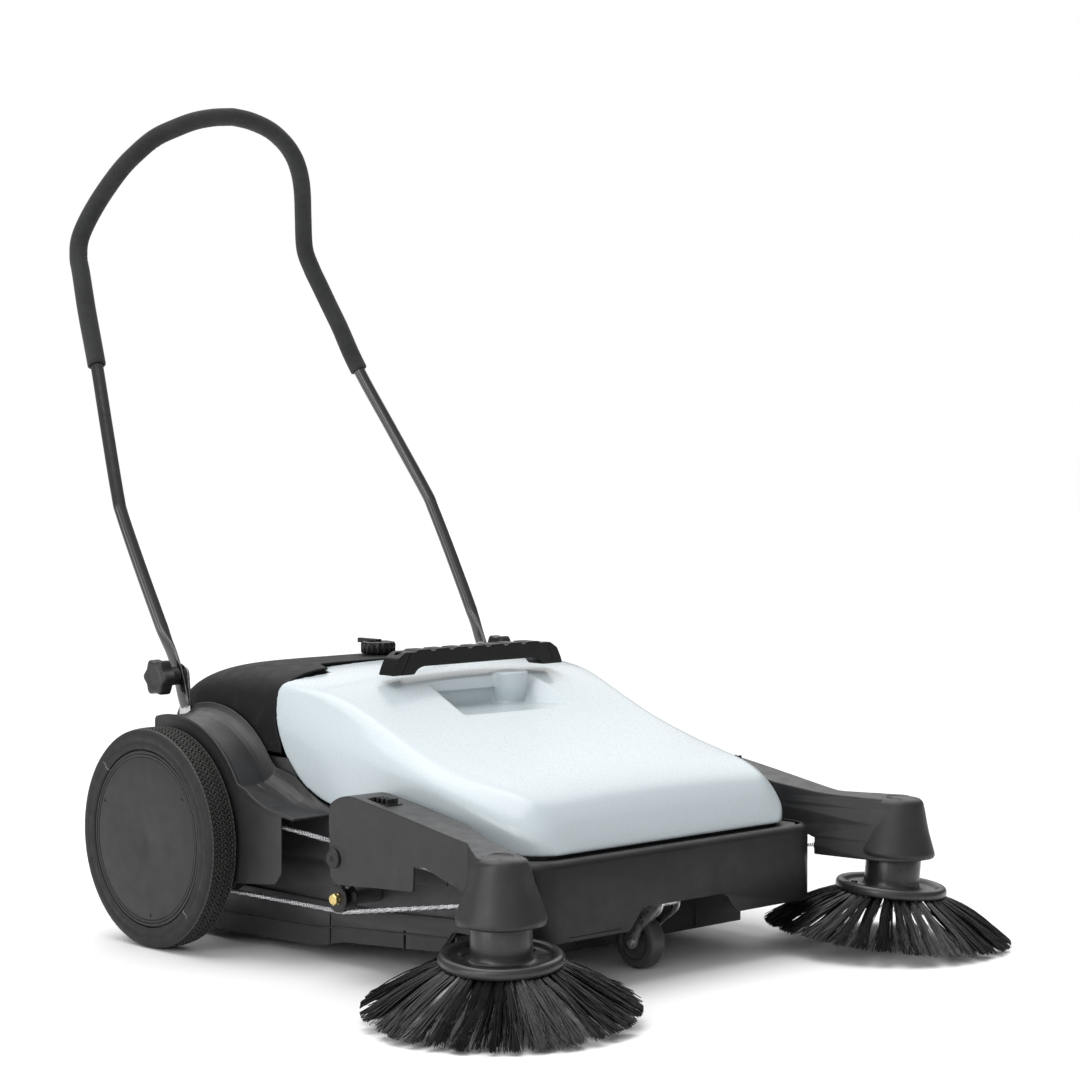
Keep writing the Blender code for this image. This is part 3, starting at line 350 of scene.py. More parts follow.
# ------------------------------------------------------------------ materials
class Mat:
    """A small builder for node materials."""

    def __init__(self, name, color, rough, metal=0.0, **uniform):
        self.m = bpy.data.materials.new(name)
        self.m.use_nodes = True
        self.nt = self.m.node_tree
        self.b = self.nt.nodes["Principled BSDF"]
        self.b.inputs["Base Color"].default_value = (*color, 1)
        self.b.inputs["Roughness"].default_value = rough
        self.b.inputs["Metallic"].default_value = metal
        for k, v in uniform.items():
            self.b.inputs[k.replace("_", " ")].default_value = v
        self.m.diffuse_color = (*color, 1)
        self.color, self.rough = color, rough
        self.tc = self.nt.nodes.new("ShaderNodeTexCoord")

    def node(self, kind, **kw):
        n = self.nt.nodes.new(kind)
        for k, v in kw.items():
            setattr(n, k, v)
        return n

    def link(self, a, b):
        self.nt.links.new(a, b)

    def mapped(self, scale=(1, 1, 1)):
        mp = self.node("ShaderNodeMapping")
        mp.inputs["Scale"].default_value = scale
        self.link(self.tc.outputs["Object"], mp.inputs["Vector"])
        return mp.outputs["Vector"]

    def noise(self, scale, detail=4.0, rough=0.55, stretch=(1, 1, 1), distortion=0.0):
        n = self.node("ShaderNodeTexNoise")
        n.inputs["Scale"].default_value = scale
        n.inputs["Detail"].default_value = detail
        n.inputs["Roughness"].default_value = rough
        n.inputs["Distortion"].default_value = distortion
        self.link(self.mapped(stretch), n.inputs["Vector"])
        return n.outputs["Fac"]

    def cells(self, scale, feature='F1', stretch=(1, 1, 1)):
        n = self.node("ShaderNodeTexVoronoi", feature=feature)
        n.inputs["Scale"].default_value = scale
        self.link(self.mapped(stretch), n.inputs["Vector"])
        return n.outputs["Distance"]

    def ramp(self, fac, stops):
        r = self.node("ShaderNodeValToRGB")
        e = r.color_ramp.elements
        while len(e) < len(stops):
            e.new(0.5)
        for k, (pos, c) in zip(e, stops):
            k.position = pos
            k.color = (*c, 1) if len(c) == 3 else c
        self.link(fac, r.inputs["Fac"])
        return r.outputs["Color"]

    def span(self, fac, lo, hi, a=0.3, b=0.7):
        r = self.node("ShaderNodeMapRange")
        r.inputs["From Min"].default_value, r.inputs["From Max"].default_value = a, b
        r.inputs["To Min"].default_value, r.inputs["To Max"].default_value = lo, hi
        self.link(fac, r.inputs["Value"])
        return r.outputs["Result"]

    def mix(self, fac, a, b, mode='MIX'):
        n = self.node("ShaderNodeMix", data_type='RGBA', blend_type=mode)
        if isinstance(fac, float):
            n.inputs[0].default_value = fac
        else:
            self.link(fac, n.inputs[0])
        for s, v in ((6, a), (7, b)):
            if isinstance(v, tuple):
                n.inputs[s].default_value = (*v, 1)
            else:
                self.link(v, n.inputs[s])
        return n.outputs[2]

    def edges(self, lo=0.51, hi=0.56):
        g = self.node("ShaderNodeNewGeometry")
        return self.span(g.outputs["Pointiness"], 0.0, 1.0, lo, hi)

    def to_color(self, out):
        self.link(out, self.b.inputs["Base Color"])

    def to_rough(self, out):
        self.link(out, self.b.inputs["Roughness"])

    def bump(self, height, strength, distance, chain=None):
        n = self.node("ShaderNodeBump")
        n.inputs["Strength"].default_value = strength
        n.inputs["Distance"].default_value = distance
        self.link(height, n.inputs["Height"])
        if chain is not None:
            self.link(chain, n.inputs["Normal"])
        return n.outputs["Normal"]

    def to_normal(self, out):
        self.link(out, self.b.inputs["Normal"])


def shade(c, k):
    return tuple(min(1.0, x * k) for x in c)


def moulded(name, color, rough, grain=900.0, depth=0.00012, edge=1.5, dusty=0.08, **kw):
    """Textured injection-moulded plastic: spark grain, faint flow clouds, rubbed edges."""
    k = Mat(name, color, rough, **kw)
    cloud = k.noise(7.0, 3.0)
    base = k.ramp(cloud, [(0.30, shade(color, 0.90)), (0.55, color), (0.75, shade(color, 1.12))])
    speck = k.noise(grain * 1.4, 2.0, 0.7)
    base = k.mix(k.span(speck, 0.0, 0.30, 0.45, 0.75), base, shade(color, 1.35))
    base = k.mix(k.span(k.noise(26.0, 6.0, 0.65), 0.0, dusty, 0.52, 0.78), base, (0.14, 0.135, 0.125))
    base = k.mix(k.edges(0.515, 0.60), base, shade(color, edge))
    k.to_color(base)
    k.to_rough(k.span(k.noise(55.0, 5.0), rough - 0.06, rough + 0.07))
    n = k.bump(k.cells(grain), 0.35, depth)
    n = k.bump(k.noise(60.0, 3.0), 0.06, 0.0003, n)
    k.to_normal(n)
    return k.m


def hopper_plastic():
    c = (0.520, 0.585, 0.615)
    k = Mat("pale_grey_moulding", c, 0.27, Coat_Weight=0.30, Coat_Roughness=0.10)
    base = k.ramp(k.noise(2.2, 1.0), [(0.0, shade(c, 0.985)), (1.0, shade(c, 1.015))])
    base = k.mix(k.span(k.noise(420.0, 2.0, 0.6), 0.0, 0.035, 0.5, 0.8), base, (0.42, 0.47, 0.49))
    k.to_color(base)
    k.to_rough(k.span(k.noise(700.0, 2.0, 0.5), 0.26, 0.31))
    n = k.bump(k.noise(900.0, 1.0, 0.5), 0.05, 0.00003)
    k.to_normal(n)
    return k.m


def tyre_rubber():
    c = (0.013, 0.0128, 0.0125)
    k = Mat("tyre_rubber", c, 0.60, Specular_IOR_Level=0.35)
    base = k.ramp(k.noise(14.0, 5.0), [(0.3, shade(c, 0.85)), (0.7, shade(c, 1.15))])
    base = k.mix(k.span(k.noise(180.0, 4.0, 0.7), 0.0, 0.22, 0.50, 0.75), base, (0.075, 0.073, 0.068))
    base = k.mix(k.edges(0.535, 0.585), base, (0.17, 0.166, 0.158))
    k.to_color(base)
    k.to_rough(k.span(k.noise(90.0, 4.0), 0.50, 0.74))
    k.to_normal(k.bump(k.noise(1100.0, 2.0), 0.25, 0.00015))
    return k.m


def foam():
    c = (0.028, 0.0285, 0.029)
    k = Mat("foam_sleeve", c, 0.86, Specular_IOR_Level=0.30, Sheen_Weight=0.10, Sheen_Roughness=0.45)
    base = k.ramp(k.noise(24.0, 5.0), [(0.3, shade(c, 0.82)), (0.7, shade(c, 1.2))])
    # painted shade: the colour goes darker at the bottom of each foam cell, in the same pits the cell bump below sinks
    # in
    base = k.mix(k.span(k.cells(1500.0), 0.0, 0.6, 0.25, 0.0), base, shade(c, 0.35))
    k.to_color(base)
    k.to_rough(k.span(k.noise(160.0, 4.0), 0.78, 0.95))
    n = k.bump(k.cells(1500.0), 0.55, 0.00025)
    n = k.bump(k.noise(120.0, 3.0), 0.20, 0.0005, n)
    k.to_normal(n)
    return k.m


def enamel():
    c = (0.010, 0.010, 0.011)
    k = Mat("black_enamel", c, 0.16, Coat_Weight=0.6, Coat_Roughness=0.06)
    base = k.ramp(k.noise(40.0, 5.0), [(0.3, shade(c, 0.8)), (0.7, shade(c, 1.5))])
    base = k.mix(k.span(k.noise(300.0, 6.0, 0.75), 0.0, 0.5, 0.66, 0.80), base, (0.07, 0.068, 0.064))
    k.to_color(base)
    k.to_rough(k.span(k.noise(120.0, 5.0), 0.12, 0.26))
    k.to_normal(k.bump(k.noise(320.0, 2.0), 0.07, 0.0003))
    return k.m


def zinc(name="bright_zinc", c=(0.60, 0.60, 0.61), rough=0.30):
    k = Mat(name, c, rough, 1.0)
    base = k.ramp(k.noise(45.0, 5.0), [(0.25, shade(c, 0.72)), (0.55, c), (0.8, (0.70, 0.68, 0.64))])
    base = k.mix(k.span(k.cells(160.0), 0.0, 0.35, 0.5, 0.0), base, shade(c, 0.80))
    k.to_color(base)
    k.to_rough(k.span(k.noise(150.0, 5.0), rough - 0.10, rough + 0.16))
    k.to_normal(k.bump(k.noise(900.0, 2.0, stretch=(1, 1, 0.15)), 0.12, 0.0001))
    return k.m


def spring_wire():
    c = (0.66, 0.66, 0.68)
    k = Mat("spring_wire", c, 0.24, 1.0)
    k.to_color(k.ramp(k.noise(90.0, 4.0), [(0.3, shade(c, 0.62)), (0.6, c), (0.8, (0.80, 0.80, 0.82))]))
    k.to_rough(k.span(k.noise(400.0, 3.0), 0.16, 0.34))
    k.to_normal(k.bump(k.noise(1600.0, 2.0), 0.10, 0.00008))
    return k.m


def brass_metal():
    c = (0.80, 0.62, 0.26)
    k = Mat("turned_brass", c, 0.28, 1.0)
    k.to_color(k.ramp(k.noise(70.0, 5.0), [(0.3, shade(c, 0.7)), (0.6, c), (0.8, (0.88, 0.74, 0.40))]))
    k.to_rough(k.span(k.noise(260.0, 4.0), 0.20, 0.40))
    k.to_normal(k.bump(k.noise(1400.0, 2.0, stretch=(0.1, 1, 1)), 0.12, 0.00008))
    return k.m


def sheet_metal():
    c = (0.020, 0.020, 0.022)
    k = Mat("painted_sheet", c, 0.42)
    base = k.ramp(k.noise(20.0, 5.0), [(0.3, shade(c, 0.8)), (0.7, shade(c, 1.4))])
    base = k.mix(k.span(k.noise(60.0, 7.0, 0.7), 0.0, 0.30, 0.58, 0.8), base, (0.09, 0.085, 0.08))
    base = k.mix(k.edges(0.52, 0.62), base, (0.10, 0.10, 0.10))
    k.to_color(base)
    k.to_rough(k.span(k.noise(130.0, 4.0), 0.34, 0.54))
    k.to_normal(k.bump(k.noise(420.0, 2.0), 0.16, 0.0002))
    return k.m


def bristle_nylon():
    c = (0.006, 0.006, 0.0065)
    k = Mat("bristle_nylon", c, 0.32, Specular_IOR_Level=0.30)
    base = k.ramp(k.noise(130.0, 3.0), [(0.35, shade(c, 0.6)), (0.6, c), (0.85, (0.026, 0.0255, 0.025))])
    k.to_color(base)
    k.to_rough(k.span(k.noise(300.0, 2.0), 0.22, 0.46))
    k.to_normal(k.bump(k.noise(2400.0, 1.0), 0.2, 0.00005))
    return k.m


def flap_rubber():
    c = (0.020, 0.020, 0.020)
    k = Mat("flap_rubber", c, 0.7)
    k.to_color(k.ramp(k.noise(30.0, 6.0), [(0.3, shade(c, 0.8)), (0.75, (0.055, 0.053, 0.05))]))
    k.to_rough(k.span(k.noise(200.0, 4.0), 0.58, 0.82))
    k.to_normal(k.bump(k.cells(900.0, stretch=(1, 1, 0.2)), 0.2, 0.0001))
    return k.m


M_HOPPER = hopper_plastic()
M_BLACK = moulded("black_moulding", (0.020, 0.020, 0.021), 0.44, Specular_IOR_Level=0.42)
M_BUMPER = moulded("bumper_moulding", (0.013, 0.013, 0.0135), 0.40, grain=800.0, Specular_IOR_Level=0.28)
M_DISC = moulded("disc_moulding", (0.020, 0.020, 0.0205), 0.50, grain=1300.0, depth=0.00008, Specular_IOR_Level=0.38)
M_GLOSS = moulded("satin_black", (0.006, 0.006, 0.0062), 0.28, grain=1500.0, depth=0.00003, edge=2.2, dusty=0.015, Specular_IOR_Level=0.32)
M_DARK = moulded("dark_plastic", (0.013, 0.013, 0.0135), 0.42, grain=1100.0, Specular_IOR_Level=0.35)
M_DISH = moulded("dish_moulding", (0.020, 0.0195, 0.019), 0.30, grain=900.0, depth=0.00006, dusty=0.10, Specular_IOR_Level=0.55)
M_GRIP = moulded("grip_moulding", (0.0045, 0.0045, 0.0047), 0.36, grain=900.0, depth=0.00005, edge=1.6, dusty=0.02, Specular_IOR_Level=0.22)
# painted shade: a darkened copy of the arms' black moulding, its base colour halved to darken the rear cover's sloping
# top
M_COWL_DARKENED_FOR_SHADE = moulded("cowl_moulding_painted_shade", (0.010, 0.010, 0.0104), 0.58, Specular_IOR_Level=0.14)
M_CASTER = moulded("caster_rubber", (0.040, 0.040, 0.041), 0.40, grain=1200.0, Specular_IOR_Level=0.55)
M_TYRE = tyre_rubber()
M_FOAM = foam()
M_PAINT = enamel()
M_ZINC = zinc()
M_WIRE = spring_wire()
M_BRASS = brass_metal()
M_SHEET = sheet_metal()
M_BRISTLE = bristle_nylon()
M_RUBBER = flap_rubber()

# ------------------------------------------------------------------ hopper
HOP_ROWS = [(-0.070, 0.2385, 0.2395, 0.2780, 0.2330, 0.3140, 0.0150),
            (-0.116, 0.2385, 0.2395, 0.2690, 0.2320, 0.3130, 0.0160),
            (-0.165, 0.2370, 0.2375, 0.2585, 0.2220, 0.3085, 0.0160),
            (-0.198, 0.2360, 0.2362, 0.2515, 0.2155, 0.3000, 0.0180),
            (-0.230, 0.2345, 0.2350, 0.2450, 0.2100, 0.2890, 0.0170),
            (-0.270, 0.2330, 0.2335, 0.2370, 0.2065, 0.2735, 0.0140),
            (-0.311, 0.2315, 0.2320, 0.2290, 0.2040, 0.2585, 0.0115),
            (-0.372, 0.2285, 0.2290, 0.2185, 0.2010, 0.2405, 0.0095),
            (-0.420, 0.2255, 0.2260, 0.2060, 0.1990, 0.2295, 0.0085),
            (-0.460, 0.2210, 0.2220, 0.1930, 0.1950, 0.2210, 0.0075),
            (-0.488, 0.2150, 0.2160, 0.1830, 0.1880, 0.2125, 0.0065),
            (-0.505, 0.2080, 0.2085, 0.1760, 0.1800, 0.2030, 0.0060),
            (-0.518, 0.1990, 0.1995, 0.1690, 0.1700, 0.1870, 0.0055),
            (-0.526, 0.1880, 0.1885, 0.1610, 0.1600, 0.1690, 0.0050),
            (-0.5305, 0.1790, 0.1792, 0.1545, 0.1560, 0.1560, 0.0040)]


def hop_ring(row, off=0.0, base=0.150):
    y, xb, xl, zl, xu, zu, cr = row
    zb = min(base, zl - 0.002)
    xm, zm = xl - 0.3 * (xl - xu), zl + 0.42 * (zu - zl)
    half = [(xb, zb), (xl, zl), (xm, zm), (xu, zu), (xu - 0.025, zu + cr * 0.28),
            (xu * 0.5, zu + cr * 0.78), (0.0, zu + cr)]
    half = [(max(x - off, 0.0), z - off * (0.2 if i < 2 else 0.9)) for i, (x, z) in enumerate(half)]
    pts = half + [(-x, z) for x, z in reversed(half[:-1])]
    d = [0, 0.020, 0.030, 0.026, 0.012, 0.040, 0.050, 0.040, 0.012, 0.026, 0.030, 0.020, 0]
    pts = fillet([(x, 0.0, z) for x, z in pts], d, 6)
    return [(x, y, z) for x, _, z in pts]


def hopper_skin():
    rows = catmull(HOP_ROWS, 7)
    ob = thing("hopper_cover_skin", loft([hop_ring(r) for r in rows]))
    arcp = arc(-0.235, 0.300, 0.1200, -5, -80, 28)
    keep = [(-0.1155, 0.37)] + arcp + [(-0.300, 0.1660), (-0.420, 0.1560), (-0.500, 0.1522),
                                       (-0.56, 0.1522), (-0.56, 0.37)]
    region = thing("keep", prism_x(keep, -0.27, 0.27))
    tongue = fillet([(-0.155, -0.30, 0), (-0.155, -0.1150, 0), (-0.1352, -0.0755, 0), (0.1352, -0.0755, 0),
                     (0.155, -0.1150, 0), (0.155, -0.30, 0)], [0, 0.008, 0.008, 0.008, 0.008, 0], 6)
    csg(region, thing("tongue", prism_z([(x, y) for x, y, _ in tongue], 0.285, 0.36)), 'UNION')
    csg(ob, region, 'INTERSECT')
    # hollow inside
    irows = [r for r in rows if r[0] > -0.5265]
    inner = thing("inner", loft([[(x, y + 0.0042 * min(max((-0.40 - y) / 0.09, 0.0), 1.0), z) for x, y, z in hop_ring(r, 0.0036, 0.12)]
                                 for r in irows]))
    # hand recess: level floor, sloping side walls, upright rear wall with a rounded inner corner
    zf = 0.2790
    g = 0.042 / 0.039
    top = 0.075
    low = [(-0.092, -0.2880), (0.092, -0.2880), (0.050, -0.2100), (-0.050, -0.2100)]
    up = [(x + math.copysign(g * top, x), y) for x, y in low]
    rec = thing("recess", loft([[(x, y, zf) for x, y in low], [(x, y, zf + top) for x, y in up]]))
    wall = thing("recess_wall", loft([[(x + math.copysign(0.0032, x), y + (0.0032 if y > -0.25 else -0.0032), zf - 0.0032)
                                       for x, y in low],
                                      [(x + math.copysign(0.0036, x), y + (0.0032 if y > -0.25 else -0.0032), zf + top)
                                       for x, y in up]]))
    csg(inner, wall)
    csg(ob, rec)
    # finger slot low in the rear wall
    csg(ob, thing("slot", block(-0.088, 0.040, -0.2200, -0.2020, 0.2790, 0.2990)))
    csg(inner, thing("slot_wall", block(-0.091, 0.043, -0.2200, -0.1990, 0.2758, 0.3020)))
    csg(ob, inner)
    # the rounded swell where the rear wall turns into the far side wall
    swell = thing("swell", turn([(0, -0.002), (0.0175, -0.002), (0.0225, 0.018), (0.0245, 0.0385), (0, 0.0385)],
                                (0.0480, -0.2080, zf), (0, 0, 1), 48))
    csg(ob, swell, 'UNION')
    remesh(ob, 0.0016, 7)
    return show(ob, M_HOPPER, "hopper", ["hopper_cover"], 180)


def carry_handle():
    outer = [(-0.138, 0.3222), (-0.1352, 0.3300), (-0.1290, 0.3420), (-0.1170, 0.3492)]
    top = list(outer)
    for i in range(7):
        x = -0.088 + 0.0293 * i
        top += [(x - 0.0118, 0.3488), (x - 0.0092, 0.3513), (x + 0.0092, 0.3513), (x + 0.0118, 0.3488)]
    top += [(-x, z) for x, z in reversed(outer)]
    under = [(0.104, 0.3222), (0.0985, 0.3282), (0.090, 0.3312), (-0.090, 0.3312), (-0.0985, 0.3282),
             (-0.104, 0.3222)]
    ring = [(x, 0.0, z) for x, z in top + under]
    ring = fillet(ring, 0.0022, 3, closed=True)
    bm = loft([[(x, -0.2100, z) for x, _, z in ring], [(x, -0.1840, z) for x, _, z in ring]])
    ob = thing("carry_handle_bar", bm)
    # lightening pocket under the bar and a parting line round both feet
    csg(ob, thing("p", block(-0.086, 0.086, -0.2040, -0.1900, 0.3300, 0.3390)))
    for s in (-1, 1):
        csg(ob, thing("g", loft([[(s * 0.1265, -0.2115, 0.3215), (s * 0.1250, -0.2115, 0.3215),
                                  (s * 0.1095, -0.2115, 0.3480), (s * 0.1110, -0.2115, 0.3485)],
                                 [(s * 0.1265, -0.2088, 0.3215), (s * 0.1250, -0.2088, 0.3215),
                                  (s * 0.1095, -0.2088, 0.3480), (s * 0.1110, -0.2088, 0.3485)]])))
        csg(ob, thing("h", rod((s * 0.118, -0.197, 0.3380), (s * 0.118, -0.197, 0.3600), 0.0042, 24)))
    remesh(ob, 0.0007, 4)
    return show(ob, M_GRIP, "hopper", ["carry_handle"], 180)


# ------------------------------------------------------------------ rear cover
REAR_ROWS = [(0.197, 0.050, 0.205, 3.2), (0.190, 0.105, 0.236, 3.3), (0.172, 0.158, 0.268, 3.6),
             (0.145, 0.194, 0.292, 4.0), (0.110, 0.217, 0.3095, 4.6), (0.070, 0.230, 0.3205, 5.2),
             (0.025, 0.237, 0.3265, 5.8), (-0.030, 0.240, 0.3290, 6.0), (-0.118, 0.240, 0.3300, 6.0),
             (-0.140, 0.240, 0.3300, 6.0)]


def rear_ring(row, inset=0.0, base=0.09, n=72):
    y, w, zt, p = row
    w, zt, zb = w - inset, zt - inset, 0.195
    pts = []
    for i in range(n + 1):
        a = math.pi * i / n
        cx, sz = math.cos(a), math.sin(a)
        pts.append((w * math.copysign(abs(cx) ** (2 / p), cx), y, zb + (zt - zb) * abs(sz) ** (2 / p)))
    return [(w, y, base)] + pts + [(-w, y, base)]


def rear_shell():
    rows = [r for r in catmull(REAR_ROWS, 8) if r[0] > -0.130]
    ob = thing("rear_cover_shell", loft([rear_ring(r) for r in rows]))
    inner = []
    for r in rows:
        q = np.array(r)
        q[0] = min(q[0] - 0.0032, 0.1938) if q[0] > 0.05 else q[0] - 0.002
        inner.append(q)
    inner.append(np.array([-0.150, 0.240, 0.3300, 6.0]))
    csg(ob, thing("inner", loft([rear_ring(r, 0.0031, 0.07) for r in inner])))
    low = arc(-0.235, 0.300, 0.1218, -5, -34, 16)
    keep = [(-0.1136, 0.37)] + low + [(-0.110, 0.2335), (0.094, 0.2335), (0.100, 0.105),
                                      (0.25, 0.105), (0.25, 0.37)]
    csg(ob, thing("keep", prism_x(keep, -0.27, 0.27)), 'INTERSECT')
    tongue = fillet([(-0.157, -0.20, 0), (-0.157, -0.1136, 0), (-0.1370, -0.0735, 0), (0.1370, -0.0735, 0),
                     (0.157, -0.1136, 0), (0.157, -0.20, 0)], [0, 0.008, 0.008, 0.008, 0.008, 0], 6)
    csg(ob, thing("tongue", prism_z([(x, y) for x, y, _ in tongue], 0.28, 0.40)))
    csg(ob, thing("spindle", rod((0, KNOB_Y, 0.30), (0, KNOB_Y, 0.36), 0.0052, 32)))
    remesh(ob, 0.0015, 4)
    # the rear cover takes the darkened copy of the black moulding, which is painted shade
    return show(ob, M_COWL_DARKENED_FOR_SHADE, "chassis", ["rear_cover"], 180)


def height_knob():
    def ribbed(r, d):
        return lambda t: r - d * (0.5 - 0.5 * math.cos(18 * t)) ** 0.7

    rows = [(0.0, ribbed(0.0190, 0.0)), (0.0006, ribbed(0.0205, 0.0006)), (0.0020, ribbed(0.0219, 0.0014)),
            (0.0115, ribbed(0.0221, 0.0015)), (0.0135, ribbed(0.0214, 0.0011)), (0.0147, ribbed(0.0200, 0.0005)),
            (0.0150, ribbed(0.0182, 0.0)), (0.0150, ribbed(0.0150, 0.0)), (0.0141, ribbed(0.0140, 0.0)),
            (0.0139, ribbed(0.0060, 0.0)), (0.0150, ribbed(0.0050, 0.0)), (0.0150, ribbed(0.0006, 0.0))]
    ob = thing("height_knob_dial", star(rows, (0, KNOB_Y, 0.3300), (0, 0, 1), 216))
    # pointer arm and finger grip across the dial
    csg(ob, thing("r", loft([[(x, y, z) for x, y in ((-0.0045, -0.0210), (0.0045, -0.0210), (0.0030, 0.0170), (-0.0030, 0.0170))]
                             for z in (0.3420, 0.3478)])), 'UNION')
    return show(ob, M_GLOSS, "height_adjuster", ["height_knob"], 35)


# ------------------------------------------------------------------ fenders, brackets, frames
def fender(side):
    zw = WHEEL_R
    outer = [(-0.226, 0.173), (-0.203, 0.1752), (-0.176, 0.1795), (-0.152, 0.1890)]
    top = arc(0, zw, 0.142, 151, 74, 48)
    inner = arc(0, zw, 0.1388, 74, 151.5, 48)
    low = [(-0.150, 0.1858), (-0.176, 0.1762), (-0.203, 0.1720), (-0.226, 0.1698)]
    band = outer + top + inner + low
    wall = [(-0.204, 0.1708), (-0.204, 0.108), (-0.192, 0.094), (-0.110, 0.086), (-0.075, 0.030),
            (0.020, 0.030), (0.0385, 0.080)] + arc(0, zw, 0.1405, 74, 151.5, 44) + \
           [(-0.150, 0.1866), (-0.176, 0.1774)]
    s = -1
    ob = thing("right_fender_shell", prism_x(band, s * 0.2480, s * 0.2995))
    csg(ob, thing("w", prism_x(wall, s * 0.2962, s * 0.2990)), 'UNION')
    csg(ob, thing("f", block(s * 0.2349, s * 0.2600, -0.2255, -0.2010, 0.1702, 0.1726)), 'UNION')
    # hollowed transition up towards the machine's side, lower than the rear cover's edge and the hopper
    prof = [(-0.2250, 0.1722), (-0.203, 0.1746), (-0.176, 0.1790), (-0.152, 0.1884)]
    prof += arc(0, zw, 0.1412, 150, 76, 40)
    rings = []
    for i, (y, z) in enumerate(prof):
        t = min(max((z - 0.1760) / 0.040, 0.0), 1.0)
        t = t * t * (3 - 2 * t)
        inx = 0.2362 + 0.0066 * t
        h = 0.0035 + 0.0200 * min(max((z - 0.1722) / 0.012, 0.0), 1.0) * (1 - t) + 0.0095 * t
        rings.append([(s * inx, y, z - 0.0020), (s * 0.2700, y, z - 0.0020), (s * 0.2700, y, z),
                      (s * (inx + 0.020), y, z + 0.06 * h), (s * (inx + 0.012), y, z + 0.22 * h),
                      (s * (inx + 0.006), y, z + 0.50 * h), (s * (inx + 0.002), y, z + 0.85 * h),
                      (s * (inx + 0.001), y, z + h), (s * inx, y, z + h)])
    csg(ob, thing("cheek", loft(rings)), 'UNION')
    # rolled lip along the arch's outer edge
    lip = [(s * 0.2984, y, z) for y, z in arc(0, zw, 0.1424, 150, 75, 60)]
    lip = [(s * 0.2984, y, z) for y, z in ((-0.2245, 0.1722), (-0.203, 0.1748), (-0.176, 0.1792), (-0.152, 0.1884),
                                           (-0.1385, 0.1968))] + lip
    csg(ob, thing("lip", sweep(resample(lip, 0.004), 0.0016, 12, lead=(1, 0, 0))), 'UNION')
    # turned-down end of the arch
    y0, z0 = 0.142 * math.cos(math.radians(74)), zw + 0.142 * math.sin(math.radians(74))
    csg(ob, thing("end", block(s * 0.2480, s * 0.2995, y0 - 0.0030, y0, z0 - 0.0110, z0 - 0.0002)), 'UNION')
    csg(ob, thing("h", rod((s * 0.29, 0, zw), (s * 0.305, 0, zw), 0.0245, 56)))
    remesh(ob, 0.0010, 6)
    return ob


def bracket(side, s):
    ang = [math.radians(180 - 180 * i / 28) for i in range(29)]
    pts = [(0.030, 0.205), (0.0405, 0.285)] + \
          [(HINGE_Y + 0.0145 * math.cos(a), HINGE_Z + 0.0145 * math.sin(a)) for a in ang] + \
          [(0.0610, 0.285), (0.060, 0.205)]
    ob = thing(f"{side}_bracket_plate", prism_x(pts, s * 0.2440, s * 0.2470))
    csg(ob, thing("f", block(s * 0.2348, s * 0.2455, 0.032, 0.058, 0.206, 0.2255)), 'UNION')
    csg(ob, thing("b", rod((s * 0.24, HINGE_Y, HINGE_Z), (s * 0.25, HINGE_Y, HINGE_Z), 0.0043, 32)))
    bevel(ob, 0.0005, 2)
    # bolt heads on the foot, washer behind the hinge
    for y in (0.039, 0.052):
        csg(ob, thing("n", star([(0, lambda t: 0.0046), (0.0030, lambda t: 0.0046), (0.0036, lambda t: 0.0040)],
                                (s * 0.2470, y, 0.2150), (s, 0, 0), 6)), 'UNION')
    csg(ob, thing("w", turn([(0.0043, 0), (0.0105, 0), (0.0105, 0.0010), (0.0098, 0.0014), (0.0043, 0.0014)],
                            (s * 0.2440, HINGE_Y, HINGE_Z), (-s, 0, 0), 40)), 'UNION')
    return show(ob, M_ZINC, "chassis", [f"{side}_handle_bracket"], 30)


FRAME_OUT = [(-0.500, 0.064), (-0.500, 0.1465), (-0.228, 0.1465), (-0.228, 0.1720), (-0.215, 0.1775),
             (-0.1928, 0.1835), (-0.1770, 0.1905), (-0.1642, 0.1985), (-0.1477, 0.2125), (-0.1347, 0.228),
             (0.088, 0.228), (0.088, 0.045), (-0.410, 0.045), (-0.430, 0.064)]
SKIRT_OUT = [(-0.500, 0.0645), (-0.500, 0.078), (-0.425, 0.078), (-0.300, 0.070), (0.085, 0.070),
             (0.085, 0.010), (-0.010, 0.010), (-0.195, 0.0165), (-0.240, 0.027),
             (-0.405, 0.039), (-0.428, 0.0645)]


def rounded_yz(pts, d, k=4):
    return [(y, z) for _, y, z in fillet([(0, y, z) for y, z in pts], d, k, closed=True)]


def side_plate(side, s):
    ob = thing(f"{side}_frame_plate", prism_x(rounded_yz(FRAME_OUT, 0.004), s * 0.2305, s * 0.2345))
    csg(ob, thing("a", rod((s * 0.22, 0, WHEEL_R), (s * 0.25, 0, WHEEL_R), 0.0103, 40)))
    csg(ob, thing("b", rod((s * 0.22, BROOM_Y, BROOM_Z + 0.002), (s * 0.25, BROOM_Y, BROOM_Z + 0.002), 0.0115, 40)))
    bevel(ob, 0.0006, 2)
    for y, z in ((-0.470, 0.118), (-0.470, 0.096), (-0.385, 0.128), (-0.240, 0.128), (0.074, 0.205), (0.074, 0.110),
                 (-0.252, 0.100)):
        csg(ob, thing("n", star([(0, lambda t: 0.0050), (0.0022, lambda t: 0.0050), (0.0029, lambda t: 0.0042)],
                                (s * 0.2345, y, z), (s, 0, 0), 6)), 'UNION')
    return show(ob, M_SHEET, "chassis", [f"{side}_side_frame"], 30)


